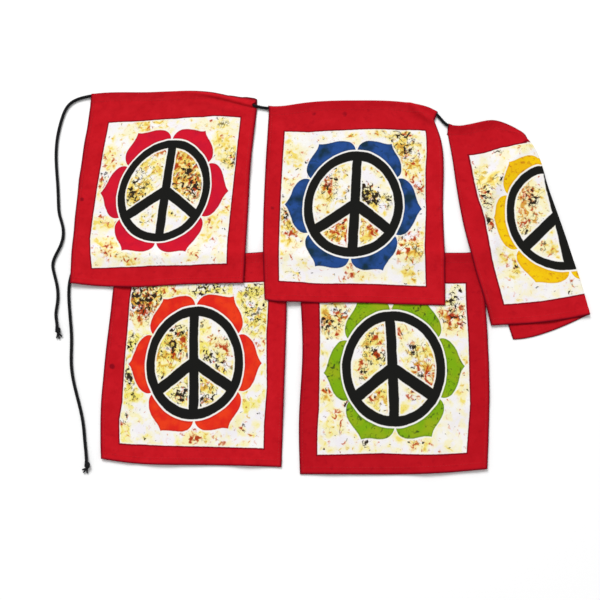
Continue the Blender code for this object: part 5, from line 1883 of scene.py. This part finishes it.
def stitch_tree():
    """Return the tree that lays stitches along lines."""
    tree, given, result = new_tree("rows of stitches", {
        "Pitch": "Float", "Thread": "Object", "Finish": "Material", "Seed": "Int"})
    line = put(tree, "GeometryNodeMeshToCurve", Mesh=given)
    spots = put(tree, "GeometryNodeCurveToPoints", {"mode": "LENGTH"}, Curve=line,
                Length=given.outputs["Pitch"])
    way = put(tree, "GeometryNodeInputNamedAttribute", {"data_type": "FLOAT_VECTOR"}, Name="up")
    along = put(tree, "FunctionNodeAlignEulerToVector", {"axis": "X"},
                Vector=spots.outputs["Tangent"])
    upright = put(tree, "FunctionNodeAlignEulerToVector", {"axis": "Z", "pivot_axis": "X"},
                  Rotation=along, Vector=way)
    jitter = put(tree, "FunctionNodeRandomValue", {"data_type": "FLOAT"}, Min=-STITCH_JITTER,
                 Max=STITCH_JITTER, Seed=given.outputs["Seed"])
    twist = put(tree, "ShaderNodeCombineXYZ", Z=jitter.outputs[1])
    turned = put(tree, "FunctionNodeRotateEuler", {"rotation_type": "EULER", "space": "LOCAL"},
                 Rotation=upright, Rotate_By=twist)
    thread = put(tree, "GeometryNodeObjectInfo", Object=given.outputs["Thread"])
    laid = put(tree, "GeometryNodeInstanceOnPoints", Points=spots,
               Instance=thread.outputs["Geometry"], Rotation=turned)
    give_result(tree, given, result, laid)
    return tree


def seam_lines(middle, thick, across_mm, down_mm, seam_row):
    """Return each seam as points on the face of the cloth and the ways up there."""
    normals = grid_normals(middle)
    surface = middle + normals * 0.5 * thick[..., None]
    sheet_rows = down_mm >= 0.0
    columns = [np.argmin(np.abs(across_mm - side)) for side in (SIDE_STITCH, across_mm[-1] - SIDE_STITCH)]
    rows = (np.argmin(np.abs(down_mm - (down_mm[-1] - BOTTOM_STITCH))), seam_row)
    return [(surface[i, sheet_rows], normals[i, sheet_rows]) for i in columns] + [
        (surface[:, j], normals[:, j]) for j in rows]


def seam_mesh(name, lines):
    """Return the seams as one mesh of lines that carries the way up at each point."""
    mesh = line_mesh(name, [(line + SHIFT) * MM for line, _ in lines])
    ways = np.concatenate([way for _, way in lines])
    attribute = mesh.attributes.new("up", "FLOAT_VECTOR", "POINT")
    attribute.data.foreach_set("vector", ways.astype(np.float32).ravel())
    return mesh


thread_paint = Paint("red_thread", 0.7, 0.2)
thread_paint.shader.inputs["Base Color"].default_value = THREAD_RED
stitch = stitch_mesh()
stitches_tree = stitch_tree()
print("stitch points", len(stitch.data.vertices))

# %% [markdown]
# Everything is in place to make the five flags. Each gets its sheet, its own dye and its stitches.
# The sheet carries on its points the stains and blotches, how near a seam is, how near the cloth's
# rim or folded top is for the shade painted there, and how its petals are turned and swelled.

# %% Make the flags
SEEDS = {name: 1.0 + k for k, name in enumerate(sorted(EDGES))}
FLAP_EDGE = 0.15
# Widths of the painted shade along the cloth's rim and its folded top.
RIM_SHADE_WIDTH = 1.8
FOLD_SHADE_WIDTH = 2.0


def edge_values(middle, across_mm, down_mm, width):
    """Return how near each point is to a seam, and the painted shade at the rim and folded top."""
    side = np.minimum(across_mm, width - across_mm)[:, None]
    bottom = (SHEET_DROP - down_mm)[None, :]
    top = np.abs(down_mm)[None, :]
    seam = np.exp(-np.minimum(np.minimum(side / 4.0, bottom / 8.0), top / 9.0))
    # The rim value is painted shade along the sides, the bottom and the folded top.
    rim = np.exp(-(np.minimum(side, bottom) / RIM_SHADE_WIDTH) ** 2)
    fold_row = len(FLAP_ROWS) + SLEEVE_STEPS
    off_fold = np.linalg.norm((middle - middle[:, fold_row:fold_row + 1])[..., :2], axis=2)
    return seam, np.maximum(rim, np.exp(-(off_fold / FOLD_SHADE_WIDTH) ** 2))


def make_flag(name, below):
    """Return a flag's cloth and its stitches, laid over the pieces below it."""
    seed = SEEDS[name]
    shape = folded_sheet if name == "flag_3" else flat_sheet
    wrap, sheet, across, down = shape(name, seed, below)
    places, read, part, columns = print_places(name, wrap, sheet, across, down)
    middle = np.concatenate([wrap, sheet], axis=1)
    width = np.ptp(cord_line.stretch[name])
    across_mm = across * width
    down_mm = np.concatenate([np.full(wrap.shape[1], -1.0), down * SHEET_DROP])
    thick = hem_layers(across_mm[:, None], width, down_mm[None, :], SHEET_DROP)
    thick[:, 0] = FLAP_EDGE
    front = np.zeros(middle.shape[:2], dtype=bool)
    front[columns] = True
    stains, blotches = stain_values(name, middle, front)
    seam, rim = edge_values(middle, across_mm, down_mm, width)

    def pixel_place(pixel):
        spot = grid_spot(part, across[columns], down, pixel)
        return [float(value) for value in read(*map(np.array, spot))]

    *ring, reach_across, reach_up = RINGS[name]
    ring_place = pixel_place(ring) if ring else (FOLD_MIDDLE, 0.5)
    figure = (*ring_place, reach_across, reach_up)
    turn, swell = petal_values(name, figure, places, pixel_place)
    item = sheet_mesh(name + "_cloth", middle, thick, places, {
        "stains": stains, "blotches": blotches, "seam": seam, "rim": rim, "turn": turn,
        "swell": swell})
    item.data.materials.append(print_finish(name, figure, seed))
    lines = seam_lines(middle, thick, across_mm, down_mm, wrap.shape[1])
    rows = run_tree(name + "_stitches", seam_mesh(name + "_seams", lines), stitches_tree,
                    {"Pitch": STITCH_PITCH * MM, "Thread": stitch,
                     "Finish": thread_paint.material, "Seed": int(seed)})
    heights = [round(float(height), 1) for height in (middle[..., 2].min(), middle[..., 2].max())]
    print(name, "figure", [round(value, 3) for value in figure], "points", len(item.data.vertices),
          "heights", heights)
    return item, rows


# Each flag and what it lies on. The lower flags come first.
LAID_OVER = {
    "flag_4": (),
    "flag_5": (),
    "flag_1": ("flag_5",),
    "flag_2": ("flag_4", "flag_5"),
    "flag_3": ("flag_4",),
}
flag_pieces = {}
for name, lower in LAID_OVER.items():
    beneath = [flag_pieces[other][0] for other in lower]
    if beneath:
        beneath.append(cord_piece)
    flag_pieces[name] = make_flag(name, beneath)
bpy.data.objects.remove(stitch, do_unlink=True)

for name, (cloth, rows) in flag_pieces.items():
    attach(cloth, "root")
    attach(rows, "root")
    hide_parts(name)

for name, (cloth, rows) in flag_pieces.items():
    lower = [flag_pieces[other][0] for other in LAID_OVER[name]]

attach(cord_piece, "root")
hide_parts("cord")
for name, knot in knot_pieces.items():
    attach(knot, "root")
    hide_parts(name)
list(knot_pieces.values())
